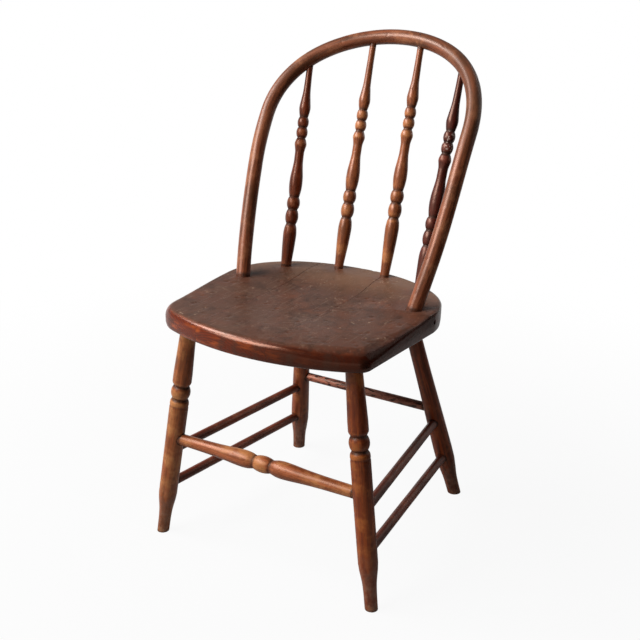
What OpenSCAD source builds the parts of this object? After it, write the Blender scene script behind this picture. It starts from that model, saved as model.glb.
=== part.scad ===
// Hoop-back kitchen chair with turned spindles, plank seat and stretchers.
// Millimetres, +Z up.  The sitter faces -Y and +X is to the right of the front view.
// The origin is on the floor, under the middle of the whole chair.

/* [Seat] */
// Height of the seat's rim above the floor
seat_h = 440; // [400:5:480]
// Thickness of the seat planks
seat_t = 37; // [32:1:42]
// Width of the seat beside the bow's feet
seat_w = 412; // [390:2:450]
// Width of the seat between its front corners
seat_front_w = 385; // [350:5:400]
// From the bow's feet forward to the front edge
seat_front = 255; // [225:5:290]
// From the bow's feet back to the rear edge
seat_back = 152; // [145:1:180]
// Radius of the long front curve
seat_front_r = 415; // [350:5:600]
// How far the left front corner is eased
left_corner_ease = 32; // [8:1:36]
// How far the right front corner is eased
right_corner_ease = 14; // [8:1:36]
// Squareness of the rear left curve, where 2 is an ellipse
left_squareness = 2.35; // [2:0.05:2.6]
// Squareness of the rear right curve
right_squareness = 2; // [2:0.05:2.6]
// Depth of the dished sitting place
dish_depth = 10; // [4:1:14]
// Roll of the front top edge
front_roll = 12; // [6:1:15]
// Easing of the other edges
edge_ease = 4; // [2:0.5:6]
// Glue line of the left plank, from the middle
left_joint_x = 91; // [75:1:100]
// Glue line of the right plank, from the middle
right_joint_x = 45; // [30:1:75]

/* [Bow] */
// Diameter of the bent rod
bow_d = 26; // [22:0.5:30]
// From the seat's side in to the middle of each foot
bow_inset = 36; // [32:1:44]
// How far its feet sit in front of the measuring line
bow_foot_forward = 4; // [0:1:8]
// Outward slope of its feet, degrees
bow_flare = 9.7; // [6:0.1:12]
// Length of each leg of the bow up to the shoulder
bow_leg_len = 300; // [240:5:350]
// Turn of each leg over that length, degrees
bow_leg_turn = 9.4; // [6:0.1:12]
// Radius of each shoulder
shoulder_r = 175; // [140:5:200]
// Turn of each shoulder, degrees
shoulder_turn = 52.8; // [45:0.1:60]
// Backward lean at the seat, degrees
bow_lean = 21.9; // [15:0.1:26]
// Length of the bow's side that leans straight
bow_straight = 203; // [120:1:260]
// Radius of the backward bend above it
bow_bend_r = 516; // [450:5:900]
// Wood left under the bow's tenons
wood_under_bow = 7; // [6:0.5:12]

/* [Spindles] */
// Outer spindles: feet in from the seat's side
outer_foot_in = 69.5; // [64:0.5:78]
// Outer spindles: feet in from the seat's rear edge
outer_foot_from_rear = 66; // [60:1:74]
// Outer left spindle: top in from the bow's widest place
outer_left_top_in = 45.1; // [40:0.1:58]
// Outer right spindle: top in from the bow's widest place
outer_right_top_in = 51.1; // [40:0.1:58]
// Outer spindles: diameter in the seat
outer_foot_d = 19.6; // [17:0.2:21]
// Inner spindles: feet from the middle
inner_foot_x = 47.5; // [42:0.5:60]
// Inner spindles: feet in from the seat's rear edge
inner_foot_from_rear = 24; // [20:1:34]
// Inner left spindle: top from the middle
inner_left_top_x = 46; // [42:1:60]
// Inner right spindle: top from the middle
inner_right_top_x = 48; // [42:1:60]
// Inner spindles: diameter in the seat
inner_foot_d = 16.4; // [15:0.2:20]
// Diameter of every spindle in the bow
spindle_top_d = 11.8; // [10:0.2:13]
// Wood left under the spindles
wood_under_spindles = 13; // [9:1:19]
// Diameter of the fullest part of a spindle
spindle_vase_d = 24.6; // [22:0.2:27]

/* [Legs] */
// Front legs: diameter of the shaft
front_leg_d = 32.8; // [28:0.2:38]
// Front legs: diameter of the foot
front_foot_d = 21.4; // [18:0.2:26]
// Front legs: diameter in the seat
front_leg_top_d = 26.4; // [22:0.2:30]
// Front legs: tops in from the seat's front corners
front_top_in = 40.8; // [35:0.1:55]
// Front legs: tops back from the seat's front edge
front_top_from_front = 77.2; // [65:0.1:90]
// Front legs: how far the feet stand outside the tops
front_splay = 61.5; // [40:0.5:70]
// Front legs: how far the feet stand in front of the tops
front_rake = 23.5; // [10:0.5:45]
// Height of the ring along the front legs
front_ring_at = 281; // [265:1:310]
// Rear legs: fullest diameter
rear_leg_d = 35.4; // [30:0.2:38]
// Rear legs: diameter of the foot
rear_foot_d = 24.6; // [20:0.2:28]
// Rear legs: diameter in the seat
rear_leg_top_d = 26.4; // [22:0.2:30]
// Rear legs: tops in from the seat's sides
rear_top_in = 105; // [92:1:115]
// Rear legs: tops in from the seat's rear edge
rear_top_from_rear = 57; // [47:1:67]
// Rear legs: how far the feet stand outside the tops
rear_splay = 78.6; // [60:0.1:90]
// Rear legs: how far the feet stand behind the tops
rear_rake = 113; // [95:1:125]
// Length of the shaped foot of every leg
foot_len = 80; // [60:1:85]
// Wood left over the legs, from the rim
wood_over_legs = 13; // [11:1:19]

/* [Stretchers] */
// Height of the front stretcher at the left leg
front_stretcher_left_h = 189.5; // [186:0.5:205]
// Height of the front stretcher at the right leg
front_stretcher_right_h = 192.5; // [186:0.5:205]
// Height of the rear stretcher
rear_stretcher_h = 190.8; // [184:0.1:205]
// Upper side stretchers: height at the front leg
upper_side_front_h = 166; // [150:0.5:169]
// Upper side stretchers: height at the rear leg
upper_side_rear_h = 164.5; // [150:0.5:168]
// Lower side stretchers: height at the front leg
lower_side_front_h = 96; // [90:0.5:115]
// Lower side stretchers: height at the rear leg
lower_side_rear_h = 87.5; // [84:0.5:110]
// Diameter of the plain stretchers
side_stretcher_d = 16.4; // [14:0.2:18]
// Fullest diameter of the turned front stretcher
front_stretcher_d = 29.2; // [25:0.2:33]
// Diameter of its ends
front_stretcher_end_d = 20; // [16:0.2:22]
// How far a stretcher reaches past a leg's middle
stretcher_past = 3; // [1:0.5:5]

/* [Fastenings] */
// Diameter of a bow screw's shank
screw_d = 3.6; // [3:0.1:4.5]
// Diameter of its head
screw_head_d = 7; // [6:0.1:8]
// How far a bow screw reaches past the middle of the bow's foot
screw_past = 0.5; // [0:0.5:4]
// Depth of the head below the seat's edge
screw_sunk = 3; // [2:0.5:5]
// Height of the screws below the rim
screw_below = 17; // [14:1:20]
// Diameter of the brad's shank
brad_d = 1.6; // [1.2:0.1:2]
// Length of the brad
brad_len = 20; // [16:1:22]
// Glue gap round each tenon
glue_gap = 0.1; // [0.05:0.05:0.2]

/* [Hidden] */

$fn = 48;
seat_brown = "#4a2c22";
bow_brown = "#6b3c28";
leg_brown = "#744429";
amber_brown = "#8a5330";
iron = "#2b2625";

// Ease from 0 to 1 as v goes from a to b
function ease(v, a, b) = let (u = max(0, min(1, (v - a) / (b - a)))) u * u * (3 - 2 * u);
function mirrored(p, side) = [side * p[0], p[1], p[2]];
function between(a, b, t) = a + (b - a) * t;
function unit(v) = v / norm(v);

// Runs its children up +Z from a towards b, tipped over without a twist
module along(a, b) {
    d = b - a;
    heading = atan2(d[1], d[0]);
    translate(a) rotate([0, acos(d[2] / norm(d)), heading]) rotate(-heading) children();
}

// ---- The bow's curve -------------------------------------------------------
// Laid flat it is three arcs that run into one another on each side, given by
// the direction t, in degrees from upright, from bow_flare at the right foot
// to -90 at the crown.  It is then bent back in side view.
half_w = seat_w / 2;
bow_foot_x = half_w - bow_inset;
leg_arc_r = bow_leg_len * 180 / (PI * bow_leg_turn);
leg_end_t = bow_flare - bow_leg_turn;
leg_end = [bow_foot_x + leg_arc_r * (cos(leg_end_t) - cos(bow_flare)),
           leg_arc_r * (sin(bow_flare) - sin(leg_end_t))];
shoulder_end_t = leg_end_t - shoulder_turn;
shoulder_end = leg_end + shoulder_r * [cos(shoulder_end_t) - cos(leg_end_t),
                                       sin(leg_end_t) - sin(shoulder_end_t)];
crown_r = shoulder_end[0] / cos(shoulder_end_t);

function flat_bow(t) =
    t < -90 ? let (p = flat_bow(-180 - t)) [-p[0], p[1]]
    : t > leg_end_t ? [bow_foot_x + leg_arc_r * (cos(t) - cos(bow_flare)),
                       leg_arc_r * (sin(bow_flare) - sin(t))]
    : t > shoulder_end_t ? leg_end + shoulder_r * [cos(t) - cos(leg_end_t),
                                                   sin(leg_end_t) - sin(t)]
    : shoulder_end + crown_r * [cos(t) - cos(shoulder_end_t), sin(shoulder_end_t) - sin(t)];
function lean_at(v) = bow_lean + max(0, v - bow_straight) * 180 / (PI * bow_bend_r);
function bow_point(t) = let (p = flat_bow(t), l = lean_at(p[1]), s = min(p[1], bow_straight))
    [p[0],
     s * sin(bow_lean) + bow_bend_r * (cos(bow_lean) - cos(l)) - bow_foot_forward,
     s * cos(bow_lean) + bow_bend_r * (sin(l) - sin(bow_lean)) + seat_h];
function bow_dir(t) = let (l = lean_at(flat_bow(t)[1])) [sin(t), cos(t) * sin(l), cos(t) * cos(l)];
function bow_backward(t) = let (l = lean_at(flat_bow(t)[1])) [0, cos(l), -sin(l)];
// Direction of the right half where it is x from the middle, above its widest place
function bow_t_at(x) = x < shoulder_end[0] ? -acos(x / crown_r)
    : -acos(cos(leg_end_t) + (x - leg_end[0]) / shoulder_r);

bow_foot = bow_point(bow_flare);
bow_in_seat = seat_t - wood_under_bow;
bow_tenon_d = bow_d - 0.4;
crown = bow_point(-90);
middle_y = (crown[1] + bow_d / 2 - seat_front) / 2;

// ---- Legs and stretchers, as lines on the right-hand side ------------------
seat_under = seat_h - seat_t;
leg_in_seat = seat_t - wood_over_legs;
front_top = [seat_front_w / 2 - front_top_in, front_top_from_front - seat_front, seat_h - wood_over_legs];
front_foot = [front_top[0] + front_splay, front_top[1] - front_rake, 0];
rear_top = [half_w - rear_top_in, seat_back - rear_top_from_rear, seat_h - wood_over_legs];
rear_foot = [rear_top[0] + rear_splay, rear_top[1] + rear_rake, 0];
function front_leg_at(z) = between(front_foot, front_top, z / front_top[2]);
function rear_leg_at(z) = between(rear_foot, rear_top, z / rear_top[2]);
function front_stretcher_end(side) =
    mirrored(front_leg_at(side < 0 ? front_stretcher_left_h : front_stretcher_right_h), side);
past_end = 0.5;

// ---- Spindles ---------------------------------------------------------------
spindle_past = 2;
spindle_in_seat = seat_t - wood_under_spindles;
outer_foot = [half_w - outer_foot_in, seat_back - outer_foot_from_rear, seat_h];
inner_foot = [inner_foot_x, seat_back - inner_foot_from_rear, seat_h];
outer_left_top = mirrored(bow_point(bow_t_at(leg_end[0] - outer_left_top_in)), -1);
outer_right_top = bow_point(bow_t_at(leg_end[0] - outer_right_top_in));
inner_left_top = mirrored(bow_point(bow_t_at(inner_left_top_x)), -1);
inner_right_top = bow_point(bow_t_at(inner_right_top_x));
// Each spindle: foot, top, diameter of the foot, and how far down from the bow
// its turned pattern sits, as they were turned by hand
outer_left = [mirrored(outer_foot, -1), outer_left_top, outer_foot_d, 13.6];
inner_left = [mirrored(inner_foot, -1), inner_left_top, inner_foot_d, 36];
inner_right = [inner_foot, inner_right_top, inner_foot_d, 23.4];
outer_right = [outer_foot, outer_right_top, outer_foot_d, 17.4];
SPINDLES = [outer_left, inner_left, inner_right, outer_right];

// ---- Fastenings ---------------------------------------------------------------
screw_z = seat_h - screw_below;
screw_hole_y = 0;
screw_target = bow_foot - bow_dir(bow_flare) * (screw_below / bow_dir(bow_flare)[2]);
screw_mouth = [half_w, screw_hole_y, screw_z];
screw_len = norm(screw_target - screw_mouth) - screw_sunk + screw_past;
screw_hole_d = screw_d + 2 * glue_gap;
screw_well_d = screw_head_d + 0.6;
brad_t = bow_t_at(inner_right_top_x);
brad_front = inner_right_top - bow_backward(brad_t) * bow_d / 2;
brad_head_d = 3.2;
brad_head_t = 0.8;

module place() {
    translate([0, -middle_y, 0]) children();
}

// ---- Turned outlines -----------------------------------------------------------
// A turned outline is a list of [place along the axis, radius].
// Slope of a smooth outline at station i, level where the outline turns back
function chord(s, i) = (s[i + 1][1] - s[i][1]) / (s[i + 1][0] - s[i][0]);
function slope(s, i) = i == 0 ? chord(s, 0)
    : i == len(s) - 1 ? chord(s, i - 1)
    : chord(s, i - 1) * chord(s, i) <= 0 ? 0
    : 2 * chord(s, i - 1) * chord(s, i) / (chord(s, i - 1) + chord(s, i));
// Smooth curve through a few stations, with n steps between each two
function smooth(s, n = 4) = [
    for (i = [0 : len(s) - 2]) for (j = [0 : n - 1])
        let (u = j / n, w = s[i + 1][0] - s[i][0],
             h1 = 2 * u * u * u - 3 * u * u + 1, h2 = u * u * u - 2 * u * u + u,
             h3 = 3 * u * u - 2 * u * u * u, h4 = u * u * u - u * u)
        [s[i][0] + u * w, h1 * s[i][1] + h2 * w * slope(s, i) + h3 * s[i + 1][1] + h4 * w * slope(s, i + 1)],
    s[len(s) - 1]
];
// A round bead between two sharp necks
function bead(at, half, neck_r, bead_r, n = 8) = [
    for (i = [0 : n]) let (u = 2 * i / n - 1)
        [at + u * half, neck_r + (bead_r - neck_r) * pow(cos(90 * u), 0.7)]
];
module turned(outline, length) {
    rotate_extrude()
        polygon(concat([[0, outline[0][0]]], [for (p = outline) [p[1], p[0]]], [[0, length]]));
}

// ---- Seat --------------------------------------------------------------------------
rear_curve_y = 0;
seat_centre = [0, -45];
corner_x = seat_front_w / 2;
function front_y(x) = seat_front_r - seat_front - sqrt(seat_front_r * seat_front_r - x * x);
corner = [corner_x, front_y(corner_x)];
side_start = [half_w, rear_curve_y];
// One half of the outline, from the middle of the rear round to the middle of the front
function half_outline(squareness, corner_ease) = let (
        side_end = corner + unit(side_start - corner) * corner_ease,
        front_start = [corner_x - corner_ease, front_y(corner_x - corner_ease)]) concat(
    [for (i = [0 : 17]) let (a = 90 - 5 * i)
        [half_w * pow(cos(a), 2 / squareness),
         rear_curve_y + (seat_back - rear_curve_y) * pow(sin(a), 2 / squareness)]],
    [for (i = [0 : 5]) between(side_start, side_end, i / 5)],
    [for (i = [1 : 3]) let (u = i / 4)
        (1 - u) * (1 - u) * side_end + 2 * u * (1 - u) * corner + u * u * front_start],
    [for (i = [0 : 9]) let (x = front_start[0] * (1 - i / 9)) [x, front_y(x)]]);
right_side = half_outline(right_squareness, right_corner_ease);
left_side = half_outline(left_squareness, left_corner_ease);
seat_outline = concat(right_side,
    [for (i = [len(left_side) - 2 : -1 : 1]) [-left_side[i][0], left_side[i][1]]]);

// Dish: full depth in the middle, none on the rim that holds the bow and
// spindles, and part of it where the seat runs out at the sides and front
dish_mid_y = -20;
dish_half_w = half_w - 36;
dish_rear = seat_back - 45;
dish_front = seat_front - 40;
front_share = 0.42;
dish_square = 2.4;
function dish_reach(p) = let (
        half_depth = p[1] > dish_mid_y ? dish_rear - dish_mid_y : dish_front + dish_mid_y)
    pow(pow(abs(p[0]) / dish_half_w, dish_square)
        + pow(abs(p[1] - dish_mid_y) / half_depth, dish_square), 1 / dish_square);
function dish(p) = let (low = front_share * (1 - ease(p[1], -75, -22)))
    dish_depth * (low + (1 - low) * (1 - ease(dish_reach(p), 0.35, 1.05)));
function seat_top(p) = seat_h - dish(p);
function roll_at(p) = edge_ease
    + (front_roll - edge_ease) * (1 - ease(p[1], 40 - seat_front, 135 - seat_front));
function inward(p, d) = p + unit(seat_centre - p) * d;

inner_rings = [0.9, 0.8, 0.7, 0.58, 0.46, 0.34, 0.22, 0.11];
roll_steps = [0, 22.5, 45, 67.5, 90];
// Height and inset of each ring of a section through the edge at outline point p
function edge_section(p) = let (r = roll_at(p), rim = inward(p, r), top = seat_top(rim)) concat(
    [[for (c = [inward(p, edge_ease)]) each [c[0], c[1], seat_under]],
     [for (c = [inward(p, 0.3 * edge_ease)]) each [c[0], c[1], seat_under + 0.3 * edge_ease]],
     [p[0], p[1], seat_under + edge_ease]],
    [for (a = roll_steps) let (c = inward(p, r * (1 - cos(a)))) [c[0], c[1], top - r * (1 - sin(a))]],
    [for (f = inner_rings) let (c = between(seat_centre, rim, f)) [c[0], c[1], seat_top(c)]]
);
module seat_blank() {
    n = len(seat_outline);
    sections = [for (p = seat_outline) edge_section(p)];
    rings = len(sections[0]);
    points = concat([for (j = [0 : rings - 1]) for (i = [0 : n - 1]) sections[i][j]],
                    [[seat_centre[0], seat_centre[1], seat_top(seat_centre)],
                     [seat_centre[0], seat_centre[1], seat_under]]);
    last = (rings - 1) * n;
    faces = concat(
        [for (j = [0 : rings - 2]) for (i = [0 : n - 1])
            let (a = j * n + i, b = j * n + (i + 1) % n) each [[a, b, b + n], [a, b + n, a + n]]],
        [for (i = [0 : n - 1]) [last + i, last + (i + 1) % n, n * rings]],
        [for (i = [0 : n - 1]) [(i + 1) % n, i, n * rings + 1]]);
    polyhedron(points, faces, convexity = 6);
}

module leg_socket(foot, top, d) {
    up = unit(top - foot);
    along(top + up * past_end, foot)
        cylinder(d = d + 2 * glue_gap, h = leg_in_seat * 2.5);
}
module seat_sockets() {
    for (side = [-1, 1]) {
        leg_socket(mirrored(front_foot, side), mirrored(front_top, side), front_leg_top_d);
        leg_socket(mirrored(rear_foot, side), mirrored(rear_top, side), rear_leg_top_d);
        foot = mirrored(bow_foot, side);
        up = mirrored(bow_dir(bow_flare), side);
        along(foot - up * (bow_in_seat + past_end), foot + up)
            cylinder(d = bow_d + 2 * glue_gap, h = bow_in_seat * 2);
        screw_bore(side);
    }
    for (s = SPINDLES)
        along(s[0] - unit(s[1] - s[0]) * (spindle_in_seat + past_end), s[1])
            cylinder(d = s[2] + 2 * glue_gap, h = spindle_in_seat * 2);
}
module screw_bore(side) {
    a = mirrored(screw_mouth, side);
    b = mirrored(screw_target, side);
    along(a, b) {
        translate([0, 0, -8]) cylinder(d = screw_well_d, h = 8 + screw_sunk + screw_head_d / 2);
        cylinder(d = screw_hole_d, h = screw_sunk + screw_len + past_end);
    }
}
module seat_board(from_x, to_x) {
    color(seat_brown) place() difference() {
        intersection() {
            seat_blank();
            translate([from_x, -seat_front - 10, seat_under - 10])
                cube([to_x - from_x, seat_front + seat_back + 20, seat_t + 20]);
        }
        seat_sockets();
    }
}

// ---- Bow ----------------------------------------------------------------------------
bow_sides = 24;
bow_steps = concat(
    [for (i = [0 : 9]) bow_flare - i * bow_leg_turn / 10],
    [for (i = [0 : 11]) leg_end_t - i * shoulder_turn / 12],
    [for (i = [0 : 8]) shoulder_end_t - i * (90 + shoulder_end_t) / 8]);
bow_path = concat(bow_steps, [for (i = [len(bow_steps) - 2 : -1 : 0]) -180 - bow_steps[i]]);
bow_start = 2;
function bow_ring(t, sink = 0) = let (
        c = bow_point(t) - bow_dir(t) * sink, b = bow_backward(t), m = cross(bow_dir(t), b))
    [for (k = [0 : bow_sides - 1]) let (a = 360 * k / bow_sides)
        c + bow_d / 2 * (cos(a) * b + sin(a) * m)];
module bow_rod() {
    n = bow_sides;
    rings = [for (i = [0 : len(bow_path) - 1])
        bow_ring(bow_path[i], i == 0 ? bow_start : i == len(bow_path) - 1 ? -bow_start : 0)];
    last = (len(rings) - 1) * n;
    polyhedron([for (r = rings) each r], concat(
        [for (j = [0 : len(rings) - 2]) for (k = [0 : n - 1])
            let (a = j * n + k, b = j * n + (k + 1) % n) each [[a, a + n, b + n], [a, b + n, b]]],
        [[for (k = [0 : n - 1]) k]],
        [[for (k = [n - 1 : -1 : 0]) last + k]]), convexity = 10);
}
module bow() {
    color(bow_brown) place() difference() {
        union() {
            bow_rod();
            for (side = [-1, 1]) {
                foot = mirrored(bow_foot, side);
                up = mirrored(bow_dir(bow_flare), side);
                along(foot - up * bow_in_seat, foot) cylinder(d = bow_tenon_d, h = bow_in_seat + 8);
            }
        }
        for (s = SPINDLES)
            along(s[1] + unit(s[1] - s[0]) * (spindle_past + past_end), s[0])
                cylinder(d = spindle_top_d + 2 * glue_gap, h = bow_d * 1.5);
        for (side = [-1, 1]) screw_bore(side);
        brad_bore();
    }
}
module brad_bore() {
    along(brad_front, inner_right_top) translate([0, 0, -2]) {
        cylinder(d = brad_d + 2 * glue_gap, h = brad_len + 2 + past_end);
        cylinder(d = brad_head_d + 2 * glue_gap, h = 2 + brad_head_t);
    }
}

// ---- Spindles -------------------------------------------------------------------------
// Outline measured down from the bow's middle: neck, upper vase, two beads and a
// shoulder, long vase, two beads, lower vase, plain foot.  The pattern was laid
// out on a spindle of pattern_len and is drawn out or in with the outer spindles.
pattern_len = 384.8;
pattern_scale = norm(outer_right_top - outer_foot) / pattern_len;
foot_plain = 8;
function spindle_outline(length, drop, foot_d) = let (
        top_r = spindle_top_d / 2, vase_r = spindle_vase_d / 2, foot_r = foot_d / 2,
        upper_vase = [[46, 6.8], [64, 9], [76, 10.4], [85, 9.3], [92, 7.6]],
        long_vase = [[131.2, 7.6], [135, 9.5], [142, 11], [149, 9.6], [157, 8.4], [172, 8.4],
                     [188, 9.9], [203, 11.7], [215, 12.1], [227, 11.2], [239, 9]],
        lower_vase = [[289, 9], [296, 11.2], [308, vase_r], [322, vase_r - 0.4]]) concat(
    [[-spindle_past, top_r]],
    smooth(concat([[27 * pattern_scale + drop * 0.4, top_r]], laid(upper_vase, drop))),
    laid(bead(102, 9, 7.6, 10.3), drop),
    laid(bead(120.5, 9, 7.6, 10.4), drop),
    smooth(laid(long_vase, drop), 3),
    laid(bead(250, 10.5, 9, 12.1), drop),
    laid(bead(275, 12.5, 8.9, 12.1), drop),
    smooth(concat(laid(lower_vase, drop), [[length - foot_plain, foot_r]])),
    [[length + spindle_in_seat, foot_r]]
);
function laid(stations, drop) = [for (p = stations) [p[0] * pattern_scale + drop, p[1]]];
module spindle(s) {
    length = norm(s[1] - s[0]);
    color(amber_brown) place() difference() {
        along(s[1], s[0]) turned(spindle_outline(length, s[3], s[2]), length + spindle_in_seat);
        if (s == inner_right) brad_bore();
    }
}

// ---- Legs --------------------------------------------------------------------------------
// Each outline runs up from the floor and starts a little below it, where the foot
// is sawn flat.  Stations above the ring are shares of the way to the seat.
below_floor = 8;
foot_flat = 6;
function shared_out(stations, from, to) = [for (p = stations) [between(from, to, p[0]), p[1]]];
function front_leg_outline(length) = let (r = front_leg_d / 2, f = front_foot_d / 2, s = foot_len / 80,
        top_r = front_leg_top_d / 2, ring = front_ring_at, neck = ring + 12.2,
        mouth = length - leg_in_seat * 1.2) concat(
    [[-below_floor, f]],
    smooth([[foot_flat, f], [25 * s, f + 0.2], [42 * s, f + 0.9], [54 * s, f + 2.2], [68 * s, r - 1.4],
            [foot_len, r - 0.3]]),
    smooth([[225, r - 0.1], [ring - 19, r - 0.3], [ring - 12.2, 12.6]]),
    bead(ring, 11.6, 12.6, r + 0.2),
    smooth(shared_out([[0, 12.8], [0.07, r - 0.2], [0.18, r - 0.2], [0.34, r - 0.8], [0.62, r - 1.9],
                       [0.93, top_r + 0.2], [1, top_r]], neck, mouth)),
    [[length, top_r]]
);
function rear_leg_outline(length) = let (r = rear_leg_d / 2, f = rear_foot_d / 2, s = foot_len / 80,
        top_r = rear_leg_top_d / 2, mouth = length - leg_in_seat * 1.3) concat(
    [[-below_floor, f]],
    smooth([[foot_flat, f], [30 * s, f + 0.5], [44 * s, f + 1.2], [58 * s, f + 2.9], [70 * s, r - 1.4],
            [foot_len + 2, r - 0.2]]),
    shared_out([[0.09, r], [0.31, r - 1.2], [0.44, r - 2], [0.62, r - 3.2], [0.97, top_r + 0.3],
                [1, top_r]], foot_len, mouth),
    [[length, top_r]]
);
module leg(foot, top, outline) {
    difference() {
        along(foot, top) turned(outline, norm(top - foot));
        translate([foot[0] - 50, foot[1] - 50, -50]) cube([100, 100, 50]);
    }
}
module front_leg(side) {
    foot = mirrored(front_foot, side);
    top = mirrored(front_top, side);
    color(leg_brown) place() difference() {
        leg(foot, top, front_leg_outline(norm(top - foot)));
        stretcher_socket(front_stretcher_end(side), front_stretcher_end(-side), front_stretcher_end_d);
        stretcher_socket(mirrored(front_leg_at(upper_side_front_h), side),
                         mirrored(rear_leg_at(upper_side_rear_h), side), side_stretcher_d);
        stretcher_socket(mirrored(front_leg_at(lower_side_front_h), side),
                         mirrored(rear_leg_at(lower_side_rear_h), side), side_stretcher_d);
    }
}
module rear_leg(side) {
    foot = mirrored(rear_foot, side);
    top = mirrored(rear_top, side);
    color(leg_brown) place() difference() {
        leg(foot, top, rear_leg_outline(norm(top - foot)));
        stretcher_socket(mirrored(rear_leg_at(rear_stretcher_h), side),
                         mirrored(rear_leg_at(rear_stretcher_h), -side), side_stretcher_d);
        stretcher_socket(mirrored(rear_leg_at(upper_side_rear_h), side),
                         mirrored(front_leg_at(upper_side_front_h), side), side_stretcher_d);
        stretcher_socket(mirrored(rear_leg_at(lower_side_rear_h), side),
                         mirrored(front_leg_at(lower_side_front_h), side), side_stretcher_d);
    }
}
module stretcher_socket(a, b, d) {
    along(a - unit(b - a) * (stretcher_past + past_end), b)
        cylinder(d = d + 2 * glue_gap, h = stretcher_past + 40);
}

// ---- Stretchers --------------------------------------------------------------------------
module plain_stretcher(a, b) {
    color(leg_brown) place()
        along(a - unit(b - a) * stretcher_past, b)
            cylinder(d = side_stretcher_d, h = norm(b - a) + 2 * stretcher_past);
}
module side_stretcher(side, front_h, rear_h) {
    plain_stretcher(mirrored(front_leg_at(front_h), side), mirrored(rear_leg_at(rear_h), side));
}
// Turned from its middle bead outwards: bead, neck, vase, long taper to a plain end
module front_stretcher() {
    a = front_stretcher_end(-1);
    b = front_stretcher_end(1);
    half = norm(b - a) / 2;
    r = front_stretcher_d / 2;
    end_r = front_stretcher_end_d / 2;
    right = concat(
        smooth([[16.5, 11.3], [20.5, 12.2], [28, r - 0.7], [38, r], [52, r - 0.5],
                [0.4 * half, r - 2], [0.51 * half, r - 3.1], [0.65 * half, r - 3.9],
                [half - 32, end_r + 0.2], [half - 22, end_r]], 3),
        [[half + stretcher_past, end_r]]);
    left = [for (i = [len(right) - 1 : -1 : 0]) [-right[i][0], right[i][1]]];
    outline = concat(left, bead(0, 15.5, 11.3, r - 0.4), right);
    color(amber_brown) place()
        along((a + b) / 2, b)
            turned(outline, half + stretcher_past);
}
module rear_stretcher() {
    plain_stretcher(mirrored(rear_leg_at(rear_stretcher_h), -1), rear_leg_at(rear_stretcher_h));
}

// ---- Fastenings -----------------------------------------------------------------------------
module bow_screw(side) {
    along(mirrored(screw_mouth, side), mirrored(screw_target, side))
        translate([0, 0, screw_sunk]) rotate_extrude()
            polygon([[0, 0], [screw_head_d / 2, 0], [screw_head_d / 2, 0.6],
                     [screw_d / 2, screw_head_d / 2 - 0.4], [screw_d / 2, screw_len - 6], [0, screw_len]]);
}
module bow_screws() {
    color(iron) place() for (side = [-1, 1]) bow_screw(side);
}
module spindle_brad() {
    color(iron) place() along(brad_front, inner_right_top) rotate_extrude()
        polygon([[0, 0], [brad_head_d / 2, 0], [brad_head_d / 2, brad_head_t - 0.1],
                 [brad_d / 2, brad_head_t - 0.1], [brad_d / 2, brad_len - 3], [0, brad_len]]);
}

seat_board(-half_w - 10, -left_joint_x - glue_gap / 2);  // seat_board_left
seat_board(-left_joint_x + glue_gap / 2, right_joint_x - glue_gap / 2);  // seat_board_middle
seat_board(right_joint_x + glue_gap / 2, half_w + 10);  // seat_board_right
bow();
spindle(outer_left);  // spindle_outer_left
spindle(inner_left);  // spindle_inner_left
spindle(inner_right);  // spindle_inner_right
spindle(outer_right);  // spindle_outer_right
front_leg(-1);  // front_leg_left
front_leg(1);  // front_leg_right
rear_leg(-1);  // rear_leg_left
rear_leg(1);  // rear_leg_right
front_stretcher();
rear_stretcher();
side_stretcher(-1, upper_side_front_h, upper_side_rear_h);  // side_stretcher_upper_left
side_stretcher(1, upper_side_front_h, upper_side_rear_h);  // side_stretcher_upper_right
side_stretcher(-1, lower_side_front_h, lower_side_rear_h);  // side_stretcher_lower_left
side_stretcher(1, lower_side_front_h, lower_side_rear_h);  // side_stretcher_lower_right
bow_screws();
spindle_brad();
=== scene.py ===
import math
import bmesh
import bpy
import numpy as np
from mathutils import Matrix, Vector, noise


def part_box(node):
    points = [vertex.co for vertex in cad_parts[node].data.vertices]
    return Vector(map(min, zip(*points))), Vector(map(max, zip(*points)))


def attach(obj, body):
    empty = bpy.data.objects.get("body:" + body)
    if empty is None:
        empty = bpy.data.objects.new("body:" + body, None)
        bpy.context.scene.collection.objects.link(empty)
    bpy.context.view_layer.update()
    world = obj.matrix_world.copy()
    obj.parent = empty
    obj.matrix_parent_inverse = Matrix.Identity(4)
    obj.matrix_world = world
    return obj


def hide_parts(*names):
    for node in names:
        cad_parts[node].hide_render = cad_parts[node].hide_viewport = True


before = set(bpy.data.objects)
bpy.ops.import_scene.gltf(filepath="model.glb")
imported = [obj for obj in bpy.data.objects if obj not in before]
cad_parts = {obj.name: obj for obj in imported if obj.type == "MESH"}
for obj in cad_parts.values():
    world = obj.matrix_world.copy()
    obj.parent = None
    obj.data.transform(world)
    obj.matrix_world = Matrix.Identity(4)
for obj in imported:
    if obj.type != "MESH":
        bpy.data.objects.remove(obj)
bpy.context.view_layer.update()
scene = bpy.context.scene
scene.view_settings.view_transform = "Standard"

# ---- Studio ---------------------------------------------------------------
# A plain white floor in a white room with a dimmer ceiling.  Two soft lamps stand
# on the left, a weak one behind on the right fills the shade, and a grey card on
# the right keeps white out of the varnish there.


def linear(colour):
    """An sRGB hex colour as the linear RGBA that a shader takes."""
    parts = [int(colour[i:i + 2], 16) / 255 for i in (1, 3, 5)]
    return [c / 12.92 if c <= 0.04045 else ((c + 0.055) / 1.055) ** 2.4 for c in parts] + [1]


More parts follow.
